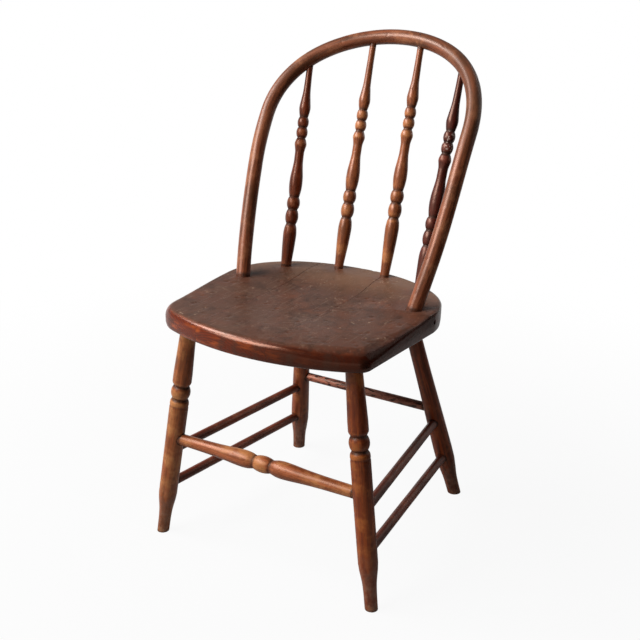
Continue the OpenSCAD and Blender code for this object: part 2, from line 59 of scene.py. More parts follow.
def add(tree, kind, sockets=None, out=0, **settings):
    """Adds one shader node with its settings and its socket values or links, and returns an output."""
    node = tree.nodes.new("ShaderNode" + kind)
    for name, value in settings.items():
        setattr(node, name, value)
    for name, value in (sockets or {}).items():
        if isinstance(value, bpy.types.NodeSocket):
            tree.links.new(value, node.inputs[name])
        else:
            node.inputs[name].default_value = value
    return node.outputs[out] if len(node.outputs) else None


FACTOR, UNDER, OVER = 0, 6, 7                    # sockets of a Mix node for colours
AS_COLOURS = {"out": 2, "data_type": "RGBA"}     # and how it is set up


def bare_tree(owner):
    """The emptied node tree of a material or of the world."""
    owner.use_nodes = True
    owner.node_tree.nodes.clear()
    return owner.node_tree


def rays(tree):
    """1 for the camera's own rays, and 1 for those and what gloss and glass show."""
    ways = tree.nodes.new("ShaderNodeLightPath").outputs
    shown = add(tree, "Math", {0: ways["Is Camera Ray"], 1: ways["Is Glossy Ray"]}, operation="MAXIMUM")
    shown = add(tree, "Math", {0: shown, 1: ways["Is Transmission Ray"]}, operation="MAXIMUM")
    return ways["Is Camera Ray"], shown


def new_object(name, points, faces):
    """A mesh object, put in the scene."""
    mesh = bpy.data.meshes.new(name)
    mesh.from_pydata(points, [], faces)
    made = bpy.data.objects.new(name, mesh)
    scene.collection.objects.link(made)
    return made


camera_place = (0.77455, -1.32896, 0.94890)
camera_azimuth, camera_elevation, camera_roll = 30.53, 20.1, 1.02
camera = bpy.data.objects.new("camera", bpy.data.cameras.new("camera"))
scene.collection.objects.link(camera)
camera.data.lens = 53.1
camera.matrix_world = (Matrix.Translation(camera_place)
                       @ Matrix.Rotation(math.radians(camera_azimuth), 4, "Z")
                       @ Matrix.Rotation(math.radians(90 - camera_elevation), 4, "X")
                       @ Matrix.Rotation(math.radians(camera_roll), 4, "Z"))
scene.camera = camera

floor_half = 14
floor = new_object("floor", [(-floor_half, -floor_half, 0), (floor_half, -floor_half, 0),
                             (floor_half, floor_half, 0), (-floor_half, floor_half, 0)], [(0, 1, 2, 3)])

# Matt white board.  It shows as plain white to the camera and keeps part of the
# shadow close to the chair: near it the glow is weaker, and it grows with distance.
white_near, fade_start, fade_end, fade_end_in_gloss = 0.93, 0.35, 1.6, 4.0
board = bpy.data.materials.new("matt_white_board")
tree = bare_tree(board)
camera_ray, shown = rays(tree)
near_share = add(tree, "Math", {0: camera_ray, 1: white_near}, operation="MULTIPLY")
white_from = add(tree, "MapRange", {"Value": camera_ray, "To Min": fade_end_in_gloss, "To Max": fade_end})
reach = add(tree, "VectorMath", {0: add(tree, "NewGeometry")}, out="Value", operation="LENGTH")
whiteness = add(tree, "MapRange", {"Value": reach, "From Min": fade_start, "From Max": white_from,
                                   "To Min": near_share, "To Max": 1.0}, interpolation_type="SMOOTHSTEP")
white_share = add(tree, "Math", {0: shown, 1: whiteness}, operation="MULTIPLY")
diffuse = add(tree, "BsdfDiffuse", {"Color": linear("#a2a2a2")})
glow = add(tree, "Emission", {"Color": (1, 1, 1, 1), "Strength": 1.0})
add(tree, "OutputMaterial", {"Surface": add(tree, "MixShader", {0: white_share, 1: diffuse, 2: glow})})
floor.data.materials.append(board)

scene.world = bpy.data.worlds.new("white_room")
tree = bare_tree(scene.world)
camera_ray, shown = rays(tree)
room_light, ceiling_light = 0.18, 0.28
height = add(tree, "SeparateXYZ", {0: add(tree, "TexCoord")}, out="Z")
cove = add(tree, "MapRange", {"Value": height, "From Min": 0.03, "From Max": 0.35,
                              "To Min": 1.0, "To Max": ceiling_light}, interpolation_type="SMOOTHSTEP")
lit = add(tree, "MapRange", {"Value": shown, "To Min": room_light, "To Max": 1.0})
lit = add(tree, "Math", {0: lit, 1: cove}, operation="MULTIPLY")
level = add(tree, "Math", {0: lit, 1: camera_ray}, operation="MAXIMUM")
add(tree, "OutputWorld", {"Surface": add(tree, "Background", {"Color": (1, 1, 1, 1), "Strength": level})})

# Lamps: name, place, width, height, watts; each is turned to the seat
seat_aim = Vector((0, 0, 0.45))
for name, place, width, height, watts in [
        ("front_left_softbox", (-1.6, -2.25, 2.4), 1.5, 1.3, 148),
        ("left_overhead_softbox", (-2.2, -0.9, 2.6), 1.0, 1.0, 88),
        ("rear_right_fill", (1.5, 2.2, 1.6), 1.6, 1.4, 23)]:
    lamp = bpy.data.lights.new(name, "AREA")
    lamp.shape = "RECTANGLE"
    lamp.size, lamp.size_y, lamp.energy = width, height, watts
    holder = bpy.data.objects.new(name, lamp)
    scene.collection.objects.link(holder)
    holder.location = place
    holder.rotation_euler = (seat_aim - Vector(place)).to_track_quat("-Z", "Y").to_euler()

# Grey card on the right, out of the camera's sight
card_x, card_low, card_high, card_front, card_rear = 0.7, 0.06, 1.6, -0.7, 1.9
card = new_object("grey_card", [(card_x, y, z) for y, z in [(card_front, card_low), (card_rear, card_low),
                                                            (card_rear, card_high), (card_front, card_high)]],
                  [(0, 1, 2, 3)])
card.visible_camera = card.visible_shadow = card.visible_diffuse = False
felt = bpy.data.materials.new("dark_grey_felt")
tree = bare_tree(felt)
add(tree, "OutputMaterial", {"Surface": add(tree, "BsdfDiffuse", {"Color": linear("#1c1613")})})
card.data.materials.append(felt)

# ---- Seat -----------------------------------------------------------------
# Three elm planks, grain front to back, glued edge to edge, sawn to outline, dished
# by hand and rolled over at the front.  Blind holes take the bow, spindles and
# legs.  Sizes are in millimetres.
MM = 0.001
seat_front, seat_back = 255, 152
seat_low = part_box("seat_board_middle")[0]
half_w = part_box("seat_board_right")[1].x / MM
rim_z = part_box("seat_board_left")[1].z / MM
under_z = seat_low.z / MM
feet_line = seat_low.y / MM + seat_front       # y of the line through the bow's feet
front_half_w, front_curve_r = 192.5, 415
edge_ease, front_roll, wall_bulge = 4, 12, 1.0
dish_depth, dish_front_share = 10, 0.42
seat_centre = np.array([0, -45.0])
left_joint, right_joint, glue_line = -91, 45, 0.1


def row(point):
    """A point given in mm from the bow-foot line, as metres in the shared frame."""
    return Vector((point[0], point[1] + feet_line, point[2])) * MM


def ease(v, a, b):
    """0 before a and 1 after b, with a smooth way between."""
    u = np.clip((v - a) / (b - a), 0, 1)
    return u * u * (3 - 2 * u)


def unit(v):
    """Vectors of length 1 along the rows of v."""
    v = np.asarray(v, float)
    return v / np.linalg.norm(v, axis=-1, keepdims=True)


def half_outline(squareness, corner_ease):
    """Half of the seat's outline, from the middle of the rear to the middle of the front."""
    def on_front(x):
        return np.stack([x, front_curve_r - seat_front - np.sqrt(front_curve_r ** 2 - x ** 2)], -1)
    corner, front_start = on_front(np.array([front_half_w, front_half_w - corner_ease]))
    a = np.radians(np.linspace(90, 0, 64, endpoint=False))
    rear = np.stack([half_w * np.cos(a) ** (2 / squareness), seat_back * np.sin(a) ** (2 / squareness)], 1)
    start = np.array([half_w, 0.0])
    end = corner + unit(start - corner) * corner_ease
    side = start + (end - start) * np.linspace(0, 1, 60)[:, None]
    u = np.linspace(0, 1, 14)[1:-1, None]
    turn = (1 - u) ** 2 * end + 2 * u * (1 - u) * corner + u ** 2 * front_start
    return np.vstack([rear, side, turn, on_front(front_start[0] * np.linspace(1, 0, 34))])


def dish(p):
    """Depth of the hollowed sitting place below the rim at points p."""
    mid_y, half_x, rear_y, front_y = -20, half_w - 36, seat_back - 45, seat_front - 40
    half_y = np.where(p[:, 1] > mid_y, rear_y - mid_y, front_y + mid_y)
    reach = ((np.abs(p[:, 0]) / half_x) ** 2.4 + (np.abs(p[:, 1] - mid_y) / half_y) ** 2.4) ** (1 / 2.4)
    # the front is lower: on the right it steps up crisply beside the bow's foot
    gentle = ease(p[:, 1], -180, 40)
    crisp = np.clip((p[:, 1] + 62) / 44, 0, 1) ** 2.2
    low = dish_front_share * (1 - gentle + (gentle - crisp) * ease(p[:, 0], -20, 120))
    return dish_depth * (low + (1 - low) * (1 - ease(reach, 0.35, 1.05)))


right_half, left_half = half_outline(2, 14), half_outline(2.35, 32)
outline = np.vstack([right_half, (left_half * [-1, 1])[-2:0:-1]])
toward = unit(seat_centre - outline)
roll = edge_ease + (front_roll - edge_ease) * (1 - ease(outline[:, 1], 40 - seat_front, 225 - seat_front))
roll_drop = roll * (1 + 0.35 * (roll - edge_ease) / (front_roll - edge_ease))
# on the right the roll is worn wider and meets the top in a crisp line
right_side = ease(outline[:, 0], 60, 160)
worn_side = right_side * (1 - ease(outline[:, 1], -170, 0))
roll, roll_drop = roll * (1 + 0.8 * worn_side), roll_drop * (1 + 0.25 * worn_side)
full_turn = np.radians(90 - 30 * right_side)
top_line = outline + toward * (roll + wall_bulge)[:, None]
top_z = rim_z - dish(top_line)


def seat_ring(inset, z):
    """One ring of the seat, set in from the outline."""
    return np.column_stack([outline + toward * np.reshape(inset, (-1, 1)), z + np.zeros(len(outline))])


rings = []
foot_line = seat_ring(edge_ease + wall_bulge, under_z)
for share in np.linspace(0.12, 1, 9)[:-1]:
    rings.append(np.column_stack([seat_centre + (foot_line[:, :2] - seat_centre) * share, foot_line[:, 2]]))
for a in np.radians(np.linspace(0, 90, 5)):
    rings.append(seat_ring(wall_bulge + edge_ease * (1 - math.sin(a)),
                           under_z + edge_ease * (1 - math.cos(a))))
wall_low, wall_high = under_z + edge_ease, top_z - roll_drop
for h in np.linspace(0, 1, 9)[1:-1]:
    rings.append(seat_ring(wall_bulge * max(0, 1 - 2 * h) ** 2, wall_low + (wall_high - wall_low) * h))
for a in np.linspace(0, 1, 13):
    rings.append(seat_ring((wall_bulge + roll) * (1 - np.cos(a * full_turn)) / (1 - np.cos(full_turn)),
                           wall_high + roll_drop * np.sin(a * full_turn) / np.sin(full_turn)))
for share in np.linspace(1, 0.02, 74)[1:]:
    p = seat_centre + (top_line - seat_centre) * share
    rings.append(np.column_stack([p, rim_z - dish(p)]))
seat_points = np.vstack(rings + [[[*seat_centre, under_z]], [[*seat_centre, rim_z - dish_depth]]])

# Years of wear have left the top slightly uneven and its edges bruised
for i, p in enumerate(seat_points):
    dip = max(0, noise.noise(Vector((p[0] / 45, p[1] / 70, 3)))) * 0.5
    bruise = max(0, noise.noise(Vector(p) / 9) - 0.42) * 3.0
    if p[2] > under_z + 6:
        seat_points[i, 2] -= dip + bruise


def wrap(rows, sides):
    """The faces between rows of points that each go once round."""
    return [(j + i, j + (i + 1) % sides, j + sides + (i + 1) % sides, j + sides + i)
            for j in range(0, (rows - 1) * sides, sides) for i in range(sides)]


n = len(outline)
last = (len(rings) - 1) * n
seat_faces = wrap(len(rings), n)
seat_faces += [((i + 1) % n, i, len(rings) * n) for i in range(n)]
seat_faces += [(last + i, last + (i + 1) % n, len(rings) * n + 1) for i in range(n)]
seat_blank = bpy.data.meshes.new("seat_blank")
seat_blank.from_pydata([row(p) for p in seat_points], [], seat_faces)


def lathe(stations, sides):
    """Points in metres and faces of a closed round shape about +Z, from (place, radius) in mm."""
    turn = np.radians(np.arange(sides) * 360 / sides)
    z, r = np.array(stations, float).T * MM
    points = np.stack([np.outer(r, np.cos(turn)), np.outer(r, np.sin(turn)),
                       np.repeat(z[:, None], sides, 1)], 2).reshape(-1, 3)
    end = (len(stations) - 1) * sides
    return points, wrap(len(stations), sides) + [tuple(range(sides))[::-1], tuple(range(end, end + sides))]


def standing(start, end):
    """The matrix that stands a shape made along +Z at start and points it to end, both in mm."""
    start, end = row(start), row(end)
    return Matrix.Translation(start) @ Vector((0, 0, 1)).rotation_difference(end - start).to_matrix().to_4x4()


def carve(piece, holes):
    """Cuts round holes in a piece: (stations, start, end) gives each hole's shape and line."""
    points, faces = [], []
    for stations, start, end in holes:
        p, f = lathe(stations, 48)
        faces += [tuple(v + len(points) for v in face) for face in f]
        points += [standing(start, end) @ Vector(v) for v in p]
    cutter = new_object("holes", points, faces)
    cut = piece.modifiers.new("holes", "BOOLEAN")
    cut.object, cut.operation, cut.solver = cutter, "DIFFERENCE", "EXACT"
    bpy.context.view_layer.update()
    carved = bpy.data.meshes.new_from_object(piece.evaluated_get(bpy.context.evaluated_depsgraph_get()))
    piece.modifiers.clear()
    piece.data = carved
    bpy.data.objects.remove(cutter)


def along_line(p, q, distance):
    """The point that lies distance past p on the way to q."""
    p, q = np.asarray(p, float), np.asarray(q, float)
    return p + unit(q - p) * distance


def mirrored(p, side):
    """A right-hand point, or its mirror image where side is -1."""
    return np.array([side * p[0], p[1], p[2]])


def store(piece, name, values):
    """Keeps one number, or one vector, for each point of a piece, for its material to read."""
    values = np.asarray(values, np.float32)
    kind, field = ("FLOAT", "value") if values.ndim == 1 else ("FLOAT_VECTOR", "vector")
    piece.data.attributes.new(name, kind, "POINT").data.foreach_set(field, values.ravel())


def points_of(piece):
    """The points of a piece in its own frame, in mm."""
    co = np.zeros(len(piece.data.vertices) * 3)
    piece.data.vertices.foreach_get("co", co)
    return co.reshape(-1, 3) / MM


def show(piece, material, slot, *nodes):
    """Gives a finished piece its material, soft shading and body, and hides the solids it stands for; slot is
    not used.
    """
    piece.data.materials.clear()
    piece.data.materials.append(material)
    piece.data.shade_smooth()
    piece.data.set_sharp_from_angle(angle=math.radians(38))
    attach(piece, "root")
    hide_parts(*nodes)


# What stands in the seat, in mm from the bow-foot line: the lines of the bow's
# feet, the spindles and the legs on the right-hand side
bow_flare, bow_lean, bow_d = 9.7, 21.9, 26
bow_foot = np.array([half_w - 36, -4, rim_z])
flare, lean = math.radians(bow_flare), math.radians(bow_lean)
bow_up = np.array([math.sin(flare), math.cos(flare) * math.sin(lean), math.cos(flare) * math.cos(lean)])
seat_t = rim_z - under_z
bow_in_seat, spindle_in_seat, leg_in_seat = seat_t - 7, seat_t - 13, seat_t - 13
outer_foot = np.array([half_w - 69.5, seat_back - 66, rim_z])
inner_foot = np.array([47.5, seat_back - 24, rim_z])
outer_foot_d, inner_foot_d = 19.6, 16.4
front_top = np.array([front_half_w - 40.8, 77.2 - seat_front, rim_z - 13])
front_foot = front_top + [61.5, -23.5, 0]
rear_top = np.array([half_w - 105, seat_back - 57, rim_z - 13])
rear_foot = rear_top + [78.6, 113, 0]
front_foot[2] = rear_foot[2] = 0
leg_top_d = 26.4

# The bow's own line: laid flat it is three arcs on each side, then it is bent back
leg_len, leg_turn, shoulder_r, shoulder_turn = 300, 9.4, 175, 52.8
straight_part, bend_r = 203, 516
leg_r = leg_len / math.radians(leg_turn)
leg_t = bow_flare - leg_turn
shoulder_t = leg_t - shoulder_turn


def arc(start, radius, from_t, t):
    """Points on an arc that leaves start in direction from_t and has reached direction t, in degrees."""
    a, b = math.radians(from_t), np.radians(t)
    return start[0] + radius * (np.cos(b) - math.cos(a)), start[1] + radius * (math.sin(a) - np.sin(b))


leg_end = arc((bow_foot[0], 0), leg_r, bow_flare, leg_t)
shoulder_end = arc(leg_end, shoulder_r, leg_t, shoulder_t)
crown_r = shoulder_end[0] / math.cos(math.radians(shoulder_t))


def bow_at(t):
    """Points, directions and backward directions of the bow's right half at directions t."""
    t = np.atleast_1d(np.asarray(t, float))
    on_leg, on_shoulder = arc((bow_foot[0], 0), leg_r, bow_flare, t), arc(leg_end, shoulder_r, leg_t, t)
    on_crown = arc(shoulder_end, crown_r, shoulder_t, t)
    x = np.where(t > leg_t, on_leg[0], np.where(t > shoulder_t, on_shoulder[0], on_crown[0]))
    v = np.where(t > leg_t, on_leg[1], np.where(t > shoulder_t, on_shoulder[1], on_crown[1]))
    tilt = math.radians(bow_lean) + np.maximum(0, v - straight_part) / bend_r
    s = np.minimum(v, straight_part)
    y = s * math.sin(lean) + bend_r * (math.cos(lean) - np.cos(tilt)) + bow_foot[1]
    z = s * math.cos(lean) + bend_r * (np.sin(tilt) - math.sin(lean)) + rim_z
    a = np.radians(t)
    way = np.stack([np.sin(a), np.cos(a) * np.sin(tilt), np.cos(a) * np.cos(tilt)], 1)
    back = np.stack([0 * a, np.cos(tilt), -np.sin(tilt)], 1)
    return np.stack([x, y, z], 1), way, back


def direction_at(x):
    """Direction t of the bow's right half where it is x from the middle, above its widest place."""
    if x < shoulder_end[0]:
        return -math.degrees(math.acos(x / crown_r))
    return -math.degrees(math.acos(math.cos(math.radians(leg_t)) + (x - leg_end[0]) / shoulder_r))


outer_left_top = mirrored(bow_at(direction_at(leg_end[0] - 45.1))[0][0], -1)
outer_right_top = bow_at(direction_at(leg_end[0] - 51.1))[0][0]
inner_left_top = mirrored(bow_at(direction_at(46))[0][0], -1)
inner_right_x = 48
inner_right_top = bow_at(direction_at(inner_right_x))[0][0]

# Screws run in from the seat's sides to the middles of the bow's feet
screw_depth = 17        # below the rim
screw_mouth = np.array([half_w, 0, rim_z - screw_depth])
screw_target = bow_foot - bow_up * (screw_depth / bow_up[2])
screw_d, screw_head_d, screw_head_h, screw_sunk = 3.6, 7.0, 3.0, 3.0
screw_len = np.linalg.norm(screw_target - screw_mouth) - screw_sunk + 0.5

glue_gap, spare_depth = 0.1, 0.5


def bore(d, start, end):
    """The outline of a round hole for a piece of diameter d."""
    return [(start, d / 2 + glue_gap), (end, d / 2 + glue_gap)]


screw_hole = bore(screw_d, 0, screw_sunk + screw_len + spare_depth)
screw_well_end = screw_sunk + screw_head_h + spare_depth
screw_well_d = screw_head_d + 0.4
past_seat, past_dish = 60, 50        # long enough to leave the wood
sockets = []
for side in (-1, 1):
    # the legs come from below, the bow's feet from above and the screws from the sides
    for foot, top in ((front_foot, front_top), (rear_foot, rear_top)):
        foot, top = mirrored(foot, side), mirrored(top, side)
        sockets.append((bore(leg_top_d, 0, past_seat), along_line(top, foot, -spare_depth), foot))
    foot = mirrored(bow_foot, side)
    deepest = foot - mirrored(bow_up, side) * (bow_in_seat + spare_depth)
    sockets.append((bore(bow_d, 0, past_seat), deepest, foot))
    well = bore(screw_well_d, -8, screw_well_end) + bore(screw_d, screw_well_end + 0.1, screw_hole[1][0])
    sockets.append((well, mirrored(screw_mouth, side), mirrored(screw_target, side)))
# name: its foot, its top, the foot's diameter and how far down its pattern is set
spindle_lines = {"outer_left": (mirrored(outer_foot, -1), outer_left_top, outer_foot_d, 13.6),
                 "inner_left": (mirrored(inner_foot, -1), inner_left_top, inner_foot_d, 36),
                 "inner_right": (inner_foot, inner_right_top, inner_foot_d, 23.4),
                 "outer_right": (outer_foot, outer_right_top, outer_foot_d, 17.4)}
for foot, top, d, _ in spindle_lines.values():
    sockets.append((bore(d, 0, past_dish), along_line(foot, top, -spindle_in_seat - spare_depth), top))

# Elm, stained dark brown under shellac varnish.  Sitting has dulled the varnish
# to a greyish satin with scratches and pale chips; the rolled front edge and
# the sides keep their red-brown gloss.
seat_wood = bpy.data.materials.new("stained_elm_seat")
tree = bare_tree(seat_wood)
place = add(tree, "TexCoord", out="Object")
top_side, grime, edges_darker_right, rim = [add(tree, "Attribute", attribute_name=kind, out="Fac")
                               for kind in ("top", "hollow", "edges_darker_right", "rim")]
# growth rings 4 mm apart, cut flat, so they run as long wavy lines down the plank
rings_place = add(tree, "Mapping", {"Vector": place, "Location": (0.03, 0, 0.11), "Scale": (1, 0.12, 1)})
ring_gap = 0.004
ring_lines = add(tree, "TexWave", {"Vector": rings_place, "Scale": 2 * math.pi / (20 * ring_gap),
                                   "Distortion": 2.4, "Detail": 2.5, "Detail Scale": 1.4},
                 out="Fac", wave_type="RINGS", rings_direction="Y")
late_wood = add(tree, "MapRange", {"Value": ring_lines, "From Min": 0.2, "From Max": 0.9, "To Max": 0.5})
# pores are drawn 1.6 mm wide, wider than real ones, so that they show
fibre_place = add(tree, "Mapping", {"Vector": place, "Scale": (1, 0.045, 1)})
fibre = add(tree, "TexNoise", {"Vector": fibre_place, "Scale": 1 / 0.0016, "Detail": 3, "Roughness": 0.6},
            out="Fac")
pores = add(tree, "MapRange", {"Value": fibre, "From Min": 0.55, "From Max": 0.75, "To Max": 0.65})
# rubbed streaks of orange-brown, 9 mm high, except on the edges that go darker towards the right
streak_place = add(tree, "Mapping", {"Vector": place, "Scale": (0.25, 0.25, 1)})
streak = add(tree, "TexNoise", {"Vector": streak_place, "Scale": 1 / 0.009, "Detail": 4, "Roughness": 0.6},
             out="Fac")
rubbed_streaks = add(tree, "MapRange", {"Value": streak, "From Min": 0.5, "From Max": 0.68})
away_from_dark_edges = add(tree, "Math", {0: 1.0, 1: edges_darker_right}, operation="SUBTRACT")
rubbed_streaks = add(tree, "Math", {0: rubbed_streaks, 1: away_from_dark_edges}, operation="MULTIPLY")
# dulled varnish on the top, in soft patches some 70 mm wide, and paler behind the sitter, partly dusty wear
# and partly a painted sheen
clouds = add(tree, "TexNoise", {"Vector": place, "Scale": 1 / 0.07, "Detail": 4, "Roughness": 0.6}, out="Fac")
dull_patches = add(tree, "MapRange", {"Value": clouds, "From Min": 0.4, "From Max": 0.6,
                                      "To Min": 0.83, "To Max": 0.98}, interpolation_type="SMOOTHSTEP")
dulled = add(tree, "Math", {0: dull_patches, 1: top_side}, operation="MULTIPLY")
paler_rear_sheen_and_wear = add(tree, "Math", {0: rim, 1: dulled}, operation="MULTIPLY")
# broad darker blotches, 28 mm, where people sit
blotch = add(tree, "TexNoise", {"Vector": place, "Scale": 1 / 0.028, "Detail": 5, "Roughness": 0.62,
                                "Distortion": 0.6}, out="Fac")
blotches = add(tree, "MapRange", {"Value": blotch, "From Min": 0.46, "From Max": 0.66, "To Max": 0.6},
               interpolation_type="SMOOTHSTEP")
# pale scuffs, 8 mm, in drifts
drift = add(tree, "TexNoise", {"Vector": place, "Scale": 1 / 0.09, "Detail": 2}, out="Fac")
drift = add(tree, "MapRange", {"Value": drift, "From Min": 0.48, "From Max": 0.66})
mottle = add(tree, "TexNoise", {"Vector": place, "Scale": 1 / 0.008, "Detail": 4, "Roughness": 0.7},
             out="Fac")
scuffs = add(tree, "MapRange", {"Value": mottle, "From Min": 0.5, "From Max": 0.66, "To Max": 0.42})
scuffs = add(tree, "Math", {0: scuffs, 1: drift}, operation="MULTIPLY")
scuffs = add(tree, "Math", {0: scuffs, 1: top_side}, operation="MULTIPLY")
# pale chips and specks, 1 to 4 mm
chip_cells = add(tree, "TexVoronoi", {"Vector": place, "Scale": 1 / 0.011, "Randomness": 1.0}, out="Distance")
chip_where = add(tree, "TexNoise", {"Vector": place, "Scale": 1 / 0.05, "Detail": 2}, out="Fac")
chip_size = add(tree, "MapRange", {"Value": chip_where, "From Min": 0.44, "From Max": 0.7, "To Max": 0.2})
chips = add(tree, "Math", {0: chip_cells, 1: chip_size}, operation="LESS_THAN")
chips = add(tree, "Math", {0: chips, 1: top_side}, operation="MULTIPLY")
# scratches: long thin streaks that cross the grain at two slants
scratches = None
for slant, width in ((0.9, 0.0016), (-0.5, 0.0021)):
    turned_place = add(tree, "Mapping", {"Vector": place, "Rotation": (0, 0, slant), "Scale": (1, 0.03, 1)})
    streaks = add(tree, "TexNoise", {"Vector": turned_place, "Scale": 1 / width, "Detail": 1}, out="Fac")
    streaks = add(tree, "MapRange", {"Value": streaks, "From Min": 0.69, "From Max": 0.74})
    scratches = streaks if scratches is None else add(tree, "Math", {0: scratches, 1: streaks},
                                                      operation="MAXIMUM")
scratches = add(tree, "Math", {0: scratches, 1: top_side}, operation="MULTIPLY")
# the layers, from the stain up, the paler rear partly a painted sheen: how far each layer covers, and its
# colour
colour = linear("#571b05")
for cover, laid in [
        # the sides and the rolled front edge go darker towards the right
        (late_wood, "#2c0c03"), (edges_darker_right, "#2b0902"), (pores, "#1d0c06"), (rubbed_streaks, "#82380f"),
        (dulled, "#493126"), (blotches, "#2c1c15"), (paler_rear_sheen_and_wear, "#735643"), (scuffs, "#7d6352"),
        (add(tree, "Math", {0: chips, 1: 0.5}, operation="MULTIPLY"), "#a08873"),
        (add(tree, "Math", {0: scratches, 1: 0.35}, operation="MULTIPLY"), "#8a7263"), (grime, "#120906")]:
    colour = add(tree, "Mix", {FACTOR: cover, UNDER: colour, OVER: linear(laid)}, **AS_COLOURS)
satin = add(tree, "MapRange", {"Value": dulled, "To Min": 0.25, "To Max": 0.5})
satin = add(tree, "Math", {0: chips, 1: 0.25, 2: satin}, operation="MULTIPLY_ADD")
relief = add(tree, "Math", {0: chips, 1: -2.0, 2: fibre}, operation="MULTIPLY_ADD")
relief = add(tree, "Math", {0: relief, 1: scratches}, operation="SUBTRACT")
bump = add(tree, "Bump", {"Height": relief, "Strength": 0.35, "Distance": 0.00025})
hollows = add(tree, "Bump", {"Height": blotch, "Strength": 0.3, "Distance": 0.0012, "Normal": bump})
surface = add(tree, "BsdfPrincipled", {"Base Color": colour, "Roughness": satin, "IOR": 1.42,
                                       "Specular Tint": linear("#ffb592"), "Coat Weight": 0.08,
                                       "Coat Roughness": 0.18, "Normal": hollows})
add(tree, "OutputMaterial", {"Surface": surface})


def slice_at(shape, place, normal, **clear):
    """Cuts a bmesh with a plane and returns the cut's edges; clear says which side goes."""
    found = bmesh.ops.bisect_plane(shape, geom=shape.verts[:] + shape.edges[:] + shape.faces[:],
                                   plane_co=place, plane_no=normal, **clear)
    return [e for e in found["geom_cut"] if isinstance(e, bmesh.types.BMEdge)]


for name, node, low_x, high_x in [
        ("left_plank", "seat_board_left", None, left_joint - glue_line / 2),
        ("middle_plank", "seat_board_middle", left_joint + glue_line / 2, right_joint - glue_line / 2),
        ("right_plank", "seat_board_right", right_joint + glue_line / 2, None)]:
    shape = bmesh.new()
    shape.from_mesh(seat_blank)
    for x, keep in ((low_x, 1), (high_x, -1)):
        if x is None:
            continue
        # a line beside the joint first, so that the arris there can be eased
        for cut_x, clear in ((x + keep * 0.8, False), (x, True)):
            edge = slice_at(shape, (cut_x * MM, 0, 0), (1, 0, 0),
                            clear_inner=clear and keep > 0, clear_outer=clear and keep < 0)
        for v in {v for e in edge for v in e.verts}:
            if v.co.z > (rim_z - 14) * MM:
                v.co.z -= 0.35 * MM * float(ease(v.co.y, -0.12, 0.06))
        bmesh.ops.holes_fill(shape, edges=edge, sides=0)
    bmesh.ops.recalc_face_normals(shape, faces=shape.faces[:])
    mesh = bpy.data.meshes.new(name)
    shape.to_mesh(mesh)
    shape.free()
    # each plank has its own grain, so its own origin
    middle = Vector((((low_x or -half_w) + (high_x or half_w)) / 2 * MM, 0.13 * len(name), rim_z * MM))
    mesh.transform(Matrix.Translation(-middle))
    plank = bpy.data.objects.new(name, mesh)
    plank.location = middle
    scene.collection.objects.link(plank)
    carve(plank, sockets)
    normals = np.zeros(len(plank.data.vertices) * 3)
    plank.data.vertices.foreach_get("normal", normals)
    facing = normals.reshape(-1, 3)[:, 2]
    at = points_of(plank) + np.array(middle) / MM
    # the varnish keeps its red round the spindles' feet and towards the right
    kept = 0.15 * ease(at[:, 0], 60, 190)
    for foot, _, _, _ in spindle_lines.values():
        reach = np.linalg.norm(at[:, :2] - [foot[0], foot[1] + feet_line - 10], axis=1)
        kept = np.maximum(kept, 0.55 * np.exp(-(reach / 24) ** 2))
    store(plank, "top", ease(facing, 0.72, 0.97) * (1 - kept))
    near_joint = np.minimum(abs(at[:, 0] - left_joint), abs(at[:, 0] - right_joint))
    # paler towards the rear: partly dusty wear, partly a painted sheen
    store(plank, "rim", 0.8 * ease(at[:, 1], 10, 120))
    # darker towards the right on the sides and the rolled front edge
    store(plank, "edges_darker_right", 0.9 * ease(at[:, 0], -60, 110) * (1 - ease(facing, 0.75, 0.98)))
    store(plank, "hollow", np.where(near_joint < 0.4, 0.2 + 0.7 * ease(at[:, 1], -60, 80), 0))
    show(plank, seat_wood, "seat_planks", node)
bpy.data.meshes.remove(seat_blank)

# ---- Bow ------------------------------------------------------------------
# One rod of ash, shaved round, steamed and bent to a hoop, stained dark brown
# and varnished.  Its feet are tenons in the seat.
bow_steps = np.concatenate([np.linspace(bow_flare, leg_t, 140)[:-1], np.linspace(leg_t, shoulder_t, 80)[:-1],
                            np.linspace(shoulder_t, -90, 70)])
centre, way, back = bow_at(bow_steps)
tenon = np.array([-bow_in_seat, -bow_in_seat + 1, -20, -10, -2.2])
centre = np.vstack([bow_foot + np.outer(tenon, bow_up), bow_foot - 2 * bow_up, centre])
way = np.vstack([np.repeat(way[:1], 6, 0), way])
back = np.vstack([np.repeat(back[:1], 6, 0), back])
rod_r = np.full(len(centre), bow_d / 2 - 0.1)
rod_r[:5] = bow_d / 2 - 0.2     # inside the seat
rod_r[0] -= 0.8                 # the tenon's end is eased
other = [1, -1, -1]     # the left half mirrors the right one and runs the other way
centre = np.vstack([centre, (centre * [-1, 1, 1])[-2::-1]])
way = np.vstack([way, (way * other)[-2::-1]])
back = np.vstack([back, back[-2::-1]])
rod_r = np.concatenate([rod_r, rod_r[-2::-1]])
side_way = np.cross(way, back)
travel = np.concatenate([[0], np.cumsum(np.linalg.norm(np.diff(centre, axis=0), axis=1))])
bow_sides = 56
bow_points = []
for c, b, m, r, s in zip(centre, back, side_way, rod_r, travel):
    for k in range(bow_sides):
        a = 2 * math.pi * k / bow_sides
        # shaved by hand, so a little flat in places
        flat = max(0, noise.noise(Vector((math.cos(a) * 1.1, math.sin(a) * 1.1, s / 70)))) * 0.5
        dent = max(0, noise.noise(Vector((math.cos(a) * 2.5, math.sin(a) * 2.5, s / 9))) - 0.45) * 1.2
        bow_points.append(row(c + (r - flat - dent) * (math.cos(a) * b + math.sin(a) * m)))
bow_faces = [(a, d, c, b) for a, b, c, d in wrap(len(centre), bow_sides)]
bow_faces += [tuple(range(bow_sides)), tuple(range(len(bow_points) - 1, len(bow_points) - bow_sides - 1, -1))]
bow = new_object("bent_bow", bow_points, bow_faces)

